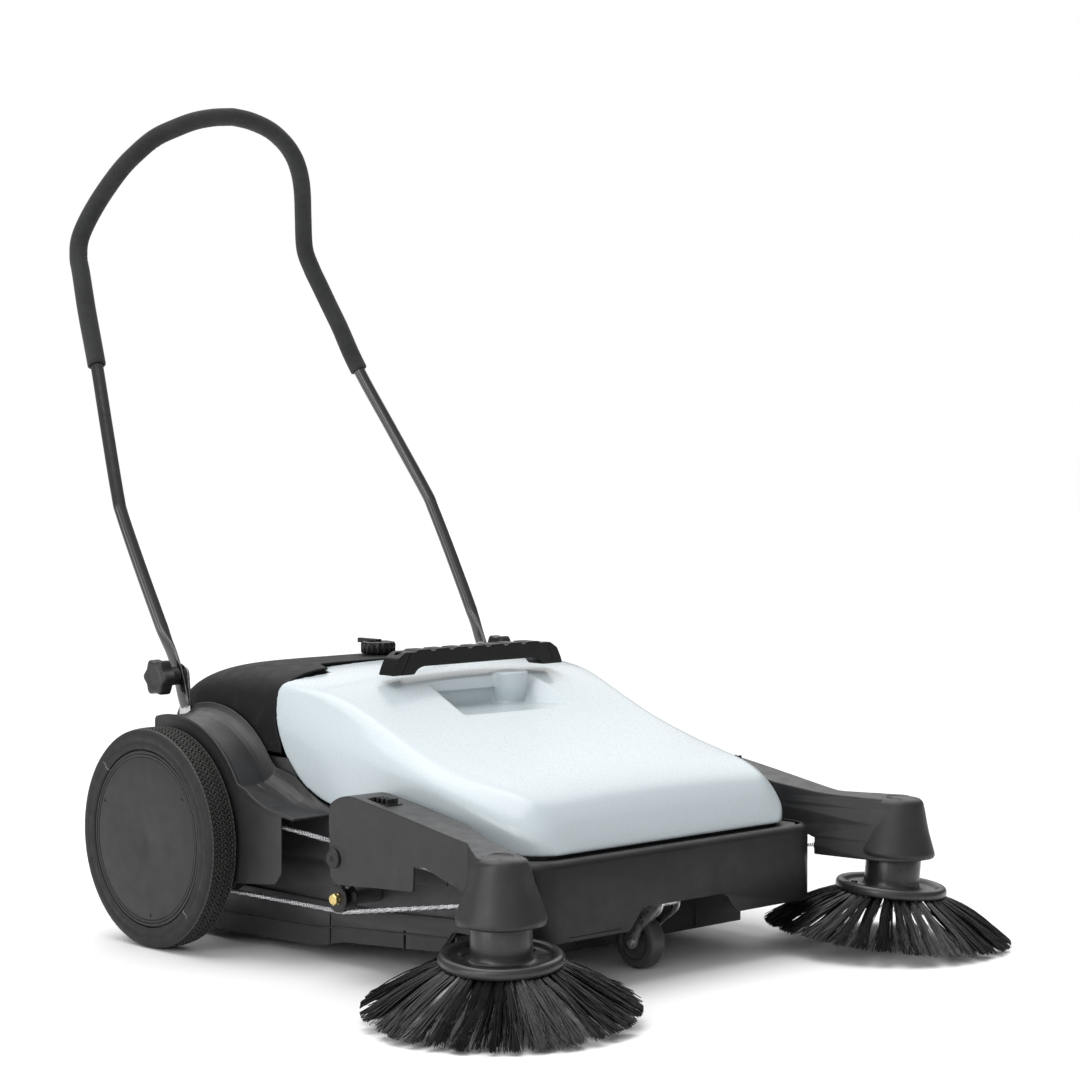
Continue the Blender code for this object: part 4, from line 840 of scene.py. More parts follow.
def side_skirt(side, s):
    pts = rounded_yz(SKIRT_OUT, 0.005)
    ob = thing(f"{side}_skirt_panel", prism_x(pts, s * 0.2348, s * 0.2378))
    # sealing strips part at a narrow joint, with a shallow stiffening rib above the lower edge
    csg(ob, thing("gap", block(s * 0.2340, s * 0.2390, -0.3492, -0.3448, 0.020, 0.0545)))
    csg(ob, thing("gap2", block(s * 0.2340, s * 0.2390, -0.2175, -0.2150, 0.010, 0.0560)))
    rib = [(s * 0.2376, y, z) for y, z in ((-0.418, 0.0560), (-0.240, 0.0440), (-0.195, 0.0380), (-0.010, 0.0330), (0.080, 0.0330))]
    csg(ob, thing("rib", sweep(resample(rib, 0.006), (0.0013), 10)), 'UNION')
    bevel(ob, 0.0005, 2)
    return show(ob, M_BLACK, "chassis", [f"{side}_side_skirt"], 35)


# ------------------------------------------------------------------ front bumper
def bumper_path(half, front, back, r, n=16):
    pts = [(half, back)]
    pts += [(half - r + r * math.cos(a), front + r + r * math.sin(a))
            for a in (-math.pi / 2 * i / n for i in range(n + 1))]
    pts += [(-(half - r) + r * math.cos(a), front + r + r * math.sin(a))
            for a in (-math.pi / 2 - math.pi / 2 * i / n for i in range(n + 1))]
    pts += [(-half, back)]
    return pts


def bumper():
    path = bumper_path(0.230, -0.550, -0.455, 0.035)
    # section: (distance in from the outer face, height); bright rolled top edge, ribbed inside
    sec = [(0.0040, 0.0620), (0.0008, 0.0620), (0.0, 0.0628), (0.0, 0.1420), (0.0006, 0.1444), (0.0022, 0.1466),
           (0.0038, 0.1482), (0.0056, 0.1494), (0.0075, 0.1499), (0.0090, 0.1500), (0.0096, 0.1496), (0.0096, 0.1482),
           (0.0060, 0.1474), (0.0046, 0.1462), (0.0040, 0.1440)]
    nrm = []
    P = [Vector((x, y, 0)) for x, y in path]
    for i, p in enumerate(P):
        t = (P[min(i + 1, len(P) - 1)] - P[max(i - 1, 0)]).normalized()
        nrm.append(Vector((t.y, -t.x, 0)))
    rings = []
    for p, q in zip(P, nrm):
        inward = -q if q.dot(p - Vector((0, -0.46, 0))) > 0 else q
        rings.append([tuple(p + inward * d + Vector((0, 0, z))) for d, z in sec])
    ob = thing("bumper_shell", loft(rings))
    notch = [(-0.089, 0.050), (-0.088, 0.062), (-0.0745, 0.076), (-0.0715, 0.081), (-0.0660, 0.0845), (-0.058, 0.0860),
             (0.058, 0.0860), (0.0660, 0.0845), (0.0715, 0.081), (0.0745, 0.076), (0.088, 0.062), (0.089, 0.050)]
    csg(ob, thing("notch", loft([[(x, -0.56, z) for x, z in notch], [(x, -0.54, z) for x, z in notch]])))
    # shallow step along the foot of the face
    csg(ob, thing("step", loft([[(x, -0.5492, z) for x, z in ((-0.180, 0.0665), (-0.100, 0.0665), (-0.100, 0.0672), (-0.180, 0.0672))],
                                [(x, -0.5520, z) for x, z in ((-0.180, 0.0665), (-0.100, 0.0665), (-0.100, 0.0672), (-0.180, 0.0672))]])))
    bevel(ob, 0.0006, 2, 40)
    return show(ob, M_BUMPER, "chassis", ["front_bumper"], 35)


def low_panels():
    ob = thing("front_skirt_strip", block(-0.2300, 0.2300, -0.4250, -0.4220, 0.018, 0.0575))
    for x in (-0.150, -0.050, 0.050, 0.150):
        csg(ob, thing("r", block(x - 0.0012, x + 0.0012, -0.4268, -0.4245, 0.020, 0.0565)), 'UNION')
    bevel(ob, 0.0005, 2)
    show(ob, M_BLACK, "chassis", ["front_skirt"], 30)
    ob = thing("rear_panel_plate", block(-0.2300, 0.2300, 0.0800, 0.0835, 0.030, 0.224))
    for z in (0.075, 0.150):
        csg(ob, thing("swage", loft([[(x, 0.0830, zz) for x, zz in ((-0.190, z), (0.190, z), (0.185, z + 0.018), (-0.185, z + 0.018))],
                                     [(x * 0.985, 0.0858, zz) for x, zz in ((-0.190, z + 0.003), (0.190, z + 0.003), (0.185, z + 0.015), (-0.185, z + 0.015))]])), 'UNION')
    bevel(ob, 0.0008, 2, 20)
    for x in (-0.215, -0.110, 0.0, 0.110, 0.215):
        csg(ob, thing("n", star([(0, lambda t: 0.0046), (0.0022, lambda t: 0.0046), (0.0028, lambda t: 0.0040)],
                                (x, 0.0835, 0.052), (0, 1, 0), 6)), 'UNION')
    show(ob, M_SHEET, "chassis", ["rear_panel"], 30)
    # flexible rear flap, faintly waved along its lower edge
    n, m = 120, 14
    verts, faces = [], []
    for side_, y0 in ((0, 0.0838), (1, 0.0866)):
        for j in range(m + 1):
            for i in range(n + 1):
                x = -0.2250 + 0.450 * i / n
                t = j / m
                z = 0.060 - 0.0535 * t
                wv = 0.0011 * t * t * (math.sin(x * 63.0) + 0.5 * math.sin(x * 141.0 + 1.0))
                verts.append((x, y0 + wv + (0.0 if side_ else 0.0), z))
    W = n + 1
    off = W * (m + 1)
    for j in range(m):
        for i in range(n):
            a = j * W + i
            faces.append((a, a + 1, a + W + 1, a + W))
            faces.append((off + a, off + a + W, off + a + W + 1, off + a + 1))
    for i in range(n):
        faces.append((i, off + i, off + i + 1, i + 1))
        a = m * W + i
        faces.append((a, a + 1, off + a + 1, off + a))
    for j in range(m):
        a = j * W
        faces.append((a, a + W, off + a + W, off + a))
        a = j * W + n
        faces.append((a, off + a, off + a + W, a + W))
    ob = raw("rear_flap_strip", verts, faces)
    bmx = bmesh.new()
    bmx.from_mesh(ob.data)
    bmesh.ops.recalc_face_normals(bmx, faces=bmx.faces)
    bmx.to_mesh(ob.data)
    bmx.free()
    show(ob, M_RUBBER, "chassis", ["rear_flap"], 35)


# ------------------------------------------------------------------ wheels
def ring_surface(name, prof, n, axis_x, disp=None, axle=WHEEL_R, y0=0.0):
    """Revolves a closed outline of (radius, x) about an X axis; disp(theta, index array) pushes radii."""
    m = len(prof)
    th = np.arange(n) * (2 * math.pi / n)
    R = np.array([p[0] for p in prof])[:, None] * np.ones((1, n))
    X = np.array([p[1] for p in prof])[:, None] * np.ones((1, n))
    if disp is not None:
        R = R + disp(th, np.array([p[0] for p in prof]), np.array([p[1] for p in prof]))
    V = np.stack([axis_x * X, y0 + R * np.cos(th)[None, :], axle + R * np.sin(th)[None, :]], axis=-1)
    i, j = np.meshgrid(np.arange(m), np.arange(n), indexing='ij')
    i2, j2 = (i + 1) % m, (j + 1) % n
    F = np.stack([i * n + j, i * n + j2, i2 * n + j2, i2 * n + j], axis=-1).reshape(-1, 4)
    if axis_x < 0:
        F = F[:, ::-1]
    return raw(name, V.reshape(-1, 3), F)


def tyre(side, s):
    R, xi, xo = WHEEL_R, WHEEL_IN, WHEEL_OUT
    tread0, tread1 = xi + 0.0055, xo - 0.0060
    m = 74
    crown = [(R - 0.0010 * (abs(2 * k / m - 1)) ** 3, tread0 + (tread1 - tread0) * k / m) for k in range(m + 1)]
    inner = [(0.1050, xi + 0.0030), (0.1075, xi + 0.0012), (0.1120, xi + 0.0004), (0.1180, xi), (0.1235, xi + 0.0008),
             (0.1270, xi + 0.0022), (0.1288, xi + 0.0038)]
    outer = [(0.1287, xo - 0.0046), (0.1274, xo - 0.0030), (0.1252, xo - 0.0014), (0.1225, xo - 0.0004),
             (0.1190, xo), (0.1168, xo - 0.0003), (0.1152, xo - 0.0011), (0.1142, xo - 0.0013), (0.1128, xo - 0.0008),
             (0.1110, xo - 0.0004), (0.1090, xo - 0.0003), (0.1074, xo - 0.0005), (0.1062, xo - 0.0009), (0.1052, xo - 0.0020),
             (0.1049, xo - 0.0050)]
    prof = inner + crown + outer
    ribs = 6
    n = 2100

    def disp(th, r, x):
        t = (x - tread0) / (tread1 - tread0)
        on = ((t > -0.001) & (t < 1.001)).astype(float)
        u = np.clip(t, 0, 0.9999) * ribs
        k = np.floor(u)
        f = np.abs((u - k) - 0.5) * 2                       # 0 at a rib's middle, 1 in the groove
        groove = np.clip((f - 0.70) / 0.22, 0, 1)
        groove = groove * groove * (3 - 2 * groove)
        # fine slanted sipes on every rib, turned the other way on the next one
        lean = np.where(k % 2 == 0, 1.0, -1.0)[:, None]
        ph = 130 * th[None, :] + lean * ((u - k) - 0.5)[:, None] * 3.4 + (k % 2)[:, None] * math.pi
        sipe = np.clip((np.cos(ph) - 0.10) / 0.55, 0, 1)
        d = 0.0024 * groove[:, None] + 0.00190 * sipe * (1 - groove[:, None])
        edge = np.clip((0.5 - np.abs(t - 0.5)) / 0.02, 0, 1)
        return -(d * (on * edge)[:, None])

    ob = ring_surface(f"{side}_tyre_tread", prof, n, s, disp)
    return show(ob, M_TYRE, f"{side}_wheel", [f"{side}_tyre"], 50)


def disc_profile():
    """Flat disc with a double groove close to its rim."""
    return [(0, 0.3373), (0.1030, 0.3373), (0.1036, 0.3379), (0.1036, 0.3398), (0.1034, 0.3404), (0.1029, 0.3408),
            (0.1018, 0.3410), (0.1010, 0.3409), (0.1005, 0.3405), (0.1003, 0.3397), (0.0997, 0.3395), (0.0993, 0.3397),
            (0.0991, 0.3405), (0.0987, 0.3409), (0.0980, 0.3410), (0.0972, 0.3409), (0.0968, 0.3406), (0.0966, 0.3400),
            (0.0962, 0.3398), (0.0958, 0.3400), (0.0955, 0.3405), (0.0948, 0.34075), (0.0700, 0.3406), (0.0400, 0.3405),
            (0.0042, 0.3405), (0.0036, 0.3402), (0.0, 0.3402)]


def disc(side, s):
    ob = thing(f"{side}_disc_face", turn(disc_profile(), (0, 0, WHEEL_R), (s, 0, 0), 192))
    # small round gate mark and dimples where the disc clips in
    for a, r, d in ((24, 0.0905, 0.0018), (144, 0.0905, 0.0018), (264, 0.0905, 0.0018)):
        y, z = r * math.cos(math.radians(a)), WHEEL_R + r * math.sin(math.radians(a))
        csg(ob, thing("d", turn([(0, 0.3399), (d, 0.3399), (d + 0.0003, 0.3420), (0, 0.3420)], (0, y, z), (s, 0, 0), 20)))
    return show(ob, M_DISC, f"{side}_wheel", [f"{side}_hub_cap"], 30)


def rim(side, s):
    """Wheel body: hub tube, web with ribs on its inner face, outer band."""
    ob = thing(f"{side}_wheel_body", turn([(0.0106, 0.2370), (0.0192, 0.2370), (0.0200, 0.2378), (0.0200, 0.3150),
                                           (0.0240, 0.3190), (0.0880, 0.3190), (0.0935, 0.3150), (0.0950, 0.3075),
                                           (0.0958, 0.3062), (0.1040, 0.3046), (0.1047, 0.3050), (0.1047, 0.3366),
                                           (0.1043, 0.3370), (0.0106, 0.3370)], (0, 0, WHEEL_R), (s, 0, 0), 128))
    for k in range(8):
        a = 2 * math.pi * k / 8
        c, q = math.cos(a), math.sin(a)
        base = [(0.0180, -0.0016), (0.0960, -0.0016), (0.0960, 0.0016), (0.0180, 0.0016)]
        rings = []
        for x in (0.3200, 0.3075):
            rings.append([(s * x, r * c - t * q, WHEEL_R + r * q + t * c) for r, t in base])
        csg(ob, thing("rib", loft(rings)), 'UNION')
    return show(ob, M_DARK, f"{side}_wheel", [f"{side}_wheel_rim"], 35)


# ------------------------------------------------------------------ side broom arms
def belt_path(s, fine=1):
    """Closed belt line: list of points from the top of the broom pulley round to the idler and back."""
    pts = [(s * BELT_X, y, z) for y, z in arc(BROOM_Y, BROOM_Z, PULLEY_R, 93, -89, 40 * fine)]
    pts += [(s * BELT_X, y, z) for y, z in arc(IDLER_Y, IDLER_Z, IDLER_R, -90, -101, 4)]
    c = broom_point(s, PULLEY_H)
    out = Vector((s, 0, 0))
    out = (out - AXES[s] * AXES[s].dot(out)).normalized()
    fwd = AXES[s].cross(out) * -s
    for i in range(36 * fine + 1):
        a = math.radians(-4 + 184 * i / (36 * fine))
        pts.append(tuple(c + out * (BRUSH_PULLEY_R * math.cos(a)) + fwd * (BRUSH_PULLEY_R * math.sin(a))))
    return pts


def nose_ring(s, z, r, off, n=48):
    """Outline of the arm at height z: straight sides running tangent into the housing's circle."""
    lean = AXES[1] * ((z - SIDE_Z) / AXES[1].z)
    cx, cy = SIDE_X + lean.x, SIDE_Y + lean.y
    r -= off
    b = (0.300 - off, -0.5196)
    a = (0.2485 + off, -0.4624)

    def touch(p, sign):
        dx, dy = p[0] - cx, p[1] - cy
        return math.atan2(dy, dx) + sign * math.acos(r / math.hypot(dx, dy))

    a0, a1 = touch(b, -1), touch(a, 1) - 2 * math.pi
    ring = [(a[0], a[1]), (b[0], a[1]), b]
    ring += [(cx + r * math.cos(a0 + (a1 - a0) * i / n), cy + r * math.sin(a0 + (a1 - a0) * i / n))
             for i in range(n + 1)]
    return [(s * x, y, z) for x, y in ring]


NOSE = [(0.1055, 0.0472), (0.1250, 0.0415), (0.1450, 0.0358), (0.1620, 0.0312), (0.1690, 0.0290), (0.1715, 0.0275),
        (0.1733, 0.0254), (0.1745, 0.0228), (0.1751, 0.0195)]
NOSE_IN = [(0.0900, 0.0500), (0.1250, 0.0412), (0.1450, 0.0355), (0.1620, 0.0309), (0.1690, 0.0285)]


def arm_shell():
    """The right-hand arm: cover, belt housing, pivot boss. Mirrored for the other side."""
    s = -1
    prof = [(-0.293, 0.1145), (-0.290, 0.190), (-0.295, 0.199), (-0.307, 0.2050), (-0.3205, 0.2084),
            (-0.334, 0.2084), (-0.3855, 0.2008), (-0.4382, 0.1920), (-0.4895, 0.1832), (-0.5196, 0.1782),
            (-0.590, 0.1752), (-0.590, 0.1215), (-0.5158, 0.1249), (-0.507, 0.1280), (-0.4792, 0.1356),
            (-0.451, 0.1442), (-0.4345, 0.1430), (-0.4330, 0.1157), (-0.3825, 0.1130), (-0.306, 0.1082)]
    prof_in = [(-0.26, 0.09), (-0.26, 0.196), (-0.300, 0.1975), (-0.318, 0.2045), (-0.334, 0.2053),
               (-0.3855, 0.1977), (-0.4382, 0.1889), (-0.4895, 0.1801), (-0.5196, 0.1751),
               (-0.585, 0.1716), (-0.585, 0.09)]
    under = [(-0.45, 0.20), (-0.45, 0.1445), (-0.4792, 0.1356), (-0.507, 0.1280), (-0.5158, 0.1249),
             (-0.5175, 0.1050), (-0.70, 0.1050), (-0.70, 0.20)]
    d = [0.004, 0.006, 0.008, 0.010, 0.010, 0.010, 0.010, 0.010, 0.010, 0.015, 0, 0, 0, 0.004, 0.006, 0.003, 0.002, 0.001,
         0.010, 0.006]
    prof = [(y, z) for _, y, z in fillet([(0, y, z) for y, z in prof], d, 5, closed=True)]
    bell = [(0, 0.1605), (0.0160, 0.1605), (0.0195, 0.1601), (0.0225, 0.1590), (0.0250, 0.1572), (0.0270, 0.1548),
            (0.0290, 0.1505), (0.0472, 0.1012), (0.0477, 0.0990), (0.0476, 0.0972), (0.0468, 0.0955), (0.0452, 0.0945),
            (0, 0.0945)]
    bell_in = [(0, 0.1525), (0.0245, 0.1525), (0.0432, 0.1015), (0.0432, 0.085), (0, 0.085)]
    ob = thing("right_arm_shell", prism_x(prof, s * 0.2400, s * 0.3700))
    plan = [(s * 0.2485, -0.28), (s * 0.300, -0.28)] + [p[:2] for p in nose_ring(s, 0.170, 0.0262, 0.0)[2:]] + \
           [(s * 0.2485, -0.4624)]
    csg(ob, thing("k", prism_z(plan, 0.08, 0.25)), 'INTERSECT')
    nose = thing("nose", loft([nose_ring(s, z, r, 0.0) for z, r in NOSE]))
    csg(nose, thing("k", prism_x(under, s * 0.24, s * 0.37)), 'INTERSECT')
    csg(ob, nose, 'UNION')
    csg(ob, thing("bell", turn(bell, broom_point(s, 0), AXES[s], 96)), 'UNION')
    # raised cap ring and its dished middle on top of the housing
    csg(ob, thing("ring", turn([(0.0, 0.158), (0.0158, 0.158), (0.0158, 0.1622), (0.0152, 0.1629), (0.0138, 0.1629),
                                (0.0132, 0.1622), (0.0129, 0.1606), (0.0, 0.1606)],
                               broom_point(s, 0), AXES[s], 64)), 'UNION')
    for k in range(4):
        t = 2 * math.pi * (k + 0.5) / 4
        u = Vector((math.cos(t), math.sin(t), 0)) * 0.0192
        p = broom_point(s, 0.158) + u
        csg(ob, thing("dot", rod(tuple(p), tuple(p + AXES[s] * 0.02), 0.0013, 16)))
    csg(ob, thing("boss", rod((s * 0.2600, PIVOT_Y, PIVOT_Z), (s * 0.3008, PIVOT_Y, PIVOT_Z), 0.0128, 64)), 'UNION')
    hollow = thing("hollow", prism_x(prof_in, s * 0.24, s * 0.37))
    plan = [(s * 0.2513, -0.20), (s * 0.2972, -0.20)] + \
           [p[:2] for p in nose_ring(s, 0.170, 0.0262, 0.0028)[2:]] + [(s * 0.2513, -0.4624)]
    csg(hollow, thing("k", prism_z(plan, 0.08, 0.25)), 'INTERSECT')
    csg(hollow, thing("ni", loft([nose_ring(s, z, r, 0.0029) for z, r in NOSE_IN])), 'UNION')
    csg(hollow, thing("bi", turn(bell_in, broom_point(s, 0), AXES[s], 64)), 'UNION')
    csg(ob, thing("pin", rod((s * 0.235, PIVOT_Y, PIVOT_Z), (s * 0.31, PIVOT_Y, PIVOT_Z), 0.0063, 40)))
    c = broom_point(s, PULLEY_H)
    tan = c + Vector((s * BRUSH_PULLEY_R, 0, 0))
    start = Vector((s * BELT_X, IDLER_Y, IDLER_Z - IDLER_R))
    csg(ob, thing("slot", rod(start.lerp(tan, 0.60), tan, 0.0065, 24)))
    csg(hollow, thing("bear", turn([(0.0066, 0.1345), (0.0115, 0.1345), (0.0115, 0.1575), (0.0066, 0.1575)],
                                   broom_point(s, 0), AXES[s], 40)))
    csg(ob, hollow)
    # long pocket in the top face near the pivot
    csg(ob, thing("top", block(s * 0.2680, s * 0.2890, -0.3800, -0.3440, 0.1900, 0.2200)))
    remesh(ob, 0.0009, 4)
    return ob


def arm_insert(s, side):
    """Dark insert with ribs in the pocket on top of the arm."""
    ob = thing(f"{side}_arm_insert", block(s * 0.2683, s * 0.2887, -0.3797, -0.3443, 0.1955, 0.2030))
    for k in range(4):
        y = -0.3750 + 0.0078 * k
        csg(ob, thing("r", block(s * 0.2705, s * 0.2865, y, y + 0.0030, 0.2020, 0.2088)), 'UNION')
    bevel(ob, 0.0004, 2)
    return show(ob, M_GLOSS, f"{side}_arm", (), 30)


def arm_pin(side, s):
    rows = [(0, 0), (0.0060, 0), (0.0060, 0.0662), (0.0100, 0.0664), (0.0106, 0.0670), (0.0106, 0.0688),
            (0.0098, 0.0698), (0.0080, 0.0700), (0.0032, 0.0697), (0.0024, 0.0685), (0.0, 0.0682)]
    ob = thing(f"{side}_pivot_pin", turn(rows, (s * 0.2348, PIVOT_Y, PIVOT_Z), (s, 0, 0), 64))
    return show(ob, M_DARK, "chassis", [f"{side}_arm_pin"], 35)


def idler(side, s):
    c = (s * 0.2348, IDLER_Y, IDLER_Z)
    hexf = lambda r: (lambda t: r / max(math.cos(((t + math.pi / 6) % (math.pi / 3)) - math.pi / 6), 0.5))
    ob = thing(f"{side}_idler_spacer", turn([(0, 0), (0.0090, 0), (0.0095, 0.0006), (0.0095, 0.0388), (0.0088, 0.0393),
                                             (0.0, 0.0393)], c, (s, 0, 0), 48))
    show(ob, M_SHEET, "chassis", (), 25)
    ob = thing(f"{side}_idler_screw", turn([(0, 0.0395), (0.0040, 0.0395), (0.0040, 0.0585), (0, 0.0585)], c, (s, 0, 0), 48))
    csg(ob, thing("h", star([(0.0584, lambda t: 0.0040), (0.0590, lambda t: 0.0066), (0.0600, hexf(0.0060)),
                             (0.0642, hexf(0.0060)), (0.0655, lambda t: 0.0050)], c, (s, 0, 0), 48)), 'UNION')
    show(ob, M_BRASS, "chassis", [f"{side}_idler_bolt"], 25)
    ic = (s * BELT_X, IDLER_Y, IDLER_Z)
    prof = [(0.0044, -0.0085), (0.0160, -0.0085), (0.0165, -0.0080), (0.0165, -0.0068), (0.0160, -0.0062),
            (0.0136, -0.0040), (0.0124, -0.0022), (0.0121, 0.0), (0.0124, 0.0022), (0.0136, 0.0040),
            (0.0150, 0.0052), (0.0156, 0.0058), (0.0156, 0.0072), (0.0150, 0.0080), (0.0120, 0.0084), (0.0044, 0.0084)]
    ob = thing(f"{side}_idler_wheel", turn(prof, ic, (s, 0, 0), 72))
    show(ob, M_GLOSS, f"{side}_idler", [f"{side}_idler_roller"], 35)


def spring_belts(side, s):
    """Endless coiled spring, cut into a rear and a front run at the idler."""
    base = belt_path(s, 1)
    closed = base + [base[0]]
    P = resample(closed, 0.00035)[:-1]
    m = len(P)
    T = np.roll(P, -3, axis=0) - np.roll(P, 3, axis=0)
    T /= np.linalg.norm(T, axis=1)[:, None]
    # carried frame around the loop
    N = np.zeros_like(P)
    nn = np.array([1.0, 0, 0])
    for i in range(m):
        nn = nn - T[i] * nn.dot(T[i])
        nn /= np.linalg.norm(nn)
        N[i] = nn
    B = np.cross(T, N)
    length = np.linalg.norm(np.diff(np.vstack([P, P[:1]]), axis=0), axis=1).sum()
    turns = round(length / 0.0029)
    ang = 2 * math.pi * turns * np.arange(m) / m
    wire, rad = 0.00078, BELT_R - 0.00080
    step = 1
    C = P + (N * np.cos(ang)[:, None] + B * np.sin(ang)[:, None]) * rad
    D = np.roll(C, -1, axis=0) - np.roll(C, 1, axis=0)
    D /= np.linalg.norm(D, axis=1)[:, None]
    O = C - P
    O /= np.linalg.norm(O, axis=1)[:, None]
    K = np.cross(D, O)
    K /= np.linalg.norm(K, axis=1)[:, None]
    q = 6
    front = P[:, 1] < IDLER_Y
    runs = []
    idx = np.arange(m)
    shift = int(np.argmax(front))
    order = np.roll(idx, -shift)
    fo = front[order]
    cut = int(np.argmin(fo))
    runs.append(("front", order[:cut]))
    runs.append(("rear", order[cut:]))
    for label, ids in runs:
        ids = ids[::2]
        V = []
        for k in range(q):
            a = 2 * math.pi * k / q
            V.append(C[ids] + (O[ids] * math.cos(a) + K[ids] * math.sin(a)) * wire)
        V = np.stack(V, axis=1).reshape(-1, 3)
        L = len(ids)
        i, j = np.meshgrid(np.arange(L - 1), np.arange(q), indexing='ij')
        F = np.stack([i * q + j, i * q + (j + 1) % q, (i + 1) * q + (j + 1) % q, (i + 1) * q + j], axis=-1).reshape(-1, 4)
        caps = [[0, 1, 2, 3], [0, 3, 4, 5]]
        capf = [[c_ for c_ in f[::-1]] for f in caps] + [[(L - 1) * q + c_ for c_ in f] for f in caps]
        ob = raw(f"{side}_belt_{label}", V, np.vstack([F, np.array(capf)]))
        bmx = bmesh.new()
        bmx.from_mesh(ob.data)
        bmesh.ops.recalc_face_normals(bmx, faces=bmx.faces)
        bmx.to_mesh(ob.data)
        bmx.free()
        ob.data.materials.append(M_WIRE)
        ob.data.shade_smooth()
        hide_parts(f"{side}_side_belt")
        if label == "front":
            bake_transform(ob)
        else:
            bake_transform(ob)


# ------------------------------------------------------------------ brushes
def tube_bundle(name, roots, paths, radius, taper=0.55, sides=4):
    """Many thin bristles. roots: not used; paths: array (k, steps, 3)."""
    k, st, _ = paths.shape
    T = np.gradient(paths, axis=1)
    T /= np.linalg.norm(T, axis=2)[:, :, None]
    ref = np.tile(np.array([0.31, 0.22, 0.92]), (k, st, 1))
    A = np.cross(T, ref)
    A /= np.linalg.norm(A, axis=2)[:, :, None]
    Bv = np.cross(T, A)
    tt = np.linspace(0, 1, st)
    rr = radius[:, None] * (1 - (1 - taper) * tt[None, :] ** 2)
    V = []
    for j in range(sides):
        a = 2 * math.pi * j / sides
        V.append(paths + (A * math.cos(a) + Bv * math.sin(a)) * rr[:, :, None])
    V = np.stack(V, axis=2)                       # k, st, sides, 3
    base = (np.arange(k) * st * sides)[:, None, None]
    i, j = np.meshgrid(np.arange(st - 1), np.arange(sides), indexing='ij')
    q = np.stack([i * sides + j, i * sides + (j + 1) % sides, (i + 1) * sides + (j + 1) % sides,
                  (i + 1) * sides + j], axis=-1).reshape(1, -1, 4)
    F = (base + q).reshape(-1, 4)
    c0 = np.array([[3, 2, 1, 0]])[None]
    c1 = (st - 1) * sides + np.array([[0, 1, 2, 3]])[None]
    F = np.vstack([F, (base + c0).reshape(-1, 4), (base + c1).reshape(-1, 4)])
    return raw(name, V.reshape(-1, 3), F)


def side_bristles(side, s):
    rng = np.random.RandomState(11 if s < 0 else 23)
    a, u, w = frame_of(AXES[s])
    a, u, w = np.array(a), np.array(u), np.array(w)
    c = np.array(broom_point(s, 0))
    H = 0.0502
    rows = ((0.0610, 40, 36, 0.0), (0.0555, 32, 31, 0.5), (0.0490, 24, 24, 0.25))
    paths, radii = [], []
    for r0, tufts, per, ph in rows:
        for t in range(tufts):
            th0 = 2 * math.pi * (t + ph) / tufts + rng.normal(0, 0.012)
            tuft_lean = rng.normal(0, 0.040)
            droop = rng.normal(0, 0.0022)
            reach = (TIP_R - 0.0022 - (0.0610 - r0) * 1.05) + rng.normal(0, 0.0018)
            for b in range(int(per * (1.0))):
                dr, dt = rng.normal(0, 0.0011), rng.normal(0, 0.0013)
                th = th0 + dt / r0
                spread = th0 + tuft_lean + rng.normal(0, 0.033)
                tipr = min(reach + rng.normal(0, 0.0028), TIP_R)
                tz = max(0.0020 + abs(rng.normal(0, 0.0018)), 0.0004) + (0.0610 - r0) * 0.05
                curl = rng.normal(0, 0.0014, 3)
                st = np.linspace(0, 1, 7)
                r = (r0 + dr) + (tipr - (r0 + dr)) * (0.88 * st + 0.12 * st ** 2)
                h = H + (tz - H) * (0.86 * st + 0.14 * st ** 2)
                an = th + (spread - th) * st ** 1.2
                p = c + a * h[:, None] + (u * np.cos(an)[:, None] + w * np.sin(an)[:, None]) * r[:, None]
                p += curl * (np.sin(st * math.pi) * 0.8)[:, None]
                p += a * (droop * np.sin(st * math.pi))[:, None]
                p[:, 2] = np.maximum(p[:, 2], 0.0009)
                paths.append(p)
                radii.append(0.00058 + rng.uniform(0, 0.00026))
    ob = tube_bundle(f"{side}_broom_tufts", None, np.array(paths), np.array(radii))
    return show(ob, M_BRISTLE, f"{side}_side_broom", [f"{side}_brush_bristles"], 60)


def brush_disc(side, s):
    prof = [(0.0063, 0.0500), (0.0635, 0.0500), (0.0648, 0.0504), (0.0655, 0.0515), (0.0657, 0.0540), (0.0655, 0.0568),
            (0.0646, 0.0592), (0.0630, 0.0608), (0.0608, 0.0616), (0.0585, 0.0616), (0.0562, 0.0608), (0.0545, 0.0594),
            (0.0530, 0.0574), (0.0514, 0.0560), (0.0492, 0.0552), (0.0440, 0.0549), (0.0400, 0.0549), (0.0372, 0.0553),
            (0.0352, 0.0562), (0.0336, 0.0582), (0.0327, 0.0610), (0.0325, 0.0650), (0.0325, 0.1014), (0.0320, 0.1022),
            (0.0308, 0.1025), (0.0063, 0.1025)]
    ob = thing(f"{side}_broom_disc", turn(prof, broom_point(s, 0), AXES[s], 160))
    a, u, w = frame_of(AXES[s])
    for k in range(3):
        t = 2 * math.pi * (k + 0.25) / 3
        p = broom_point(s, 0) + (u * math.cos(t) + w * math.sin(t)) * 0.0440
        csg(ob, thing("screw", turn([(0, 0.052), (0.0036, 0.052), (0.0036, 0.0562), (0.0030, 0.0572), (0, 0.0574)], p, AXES[s], 20)), 'UNION')
    return show(ob, M_DISH, f"{side}_side_broom", [f"{side}_brush_plate"], 50)


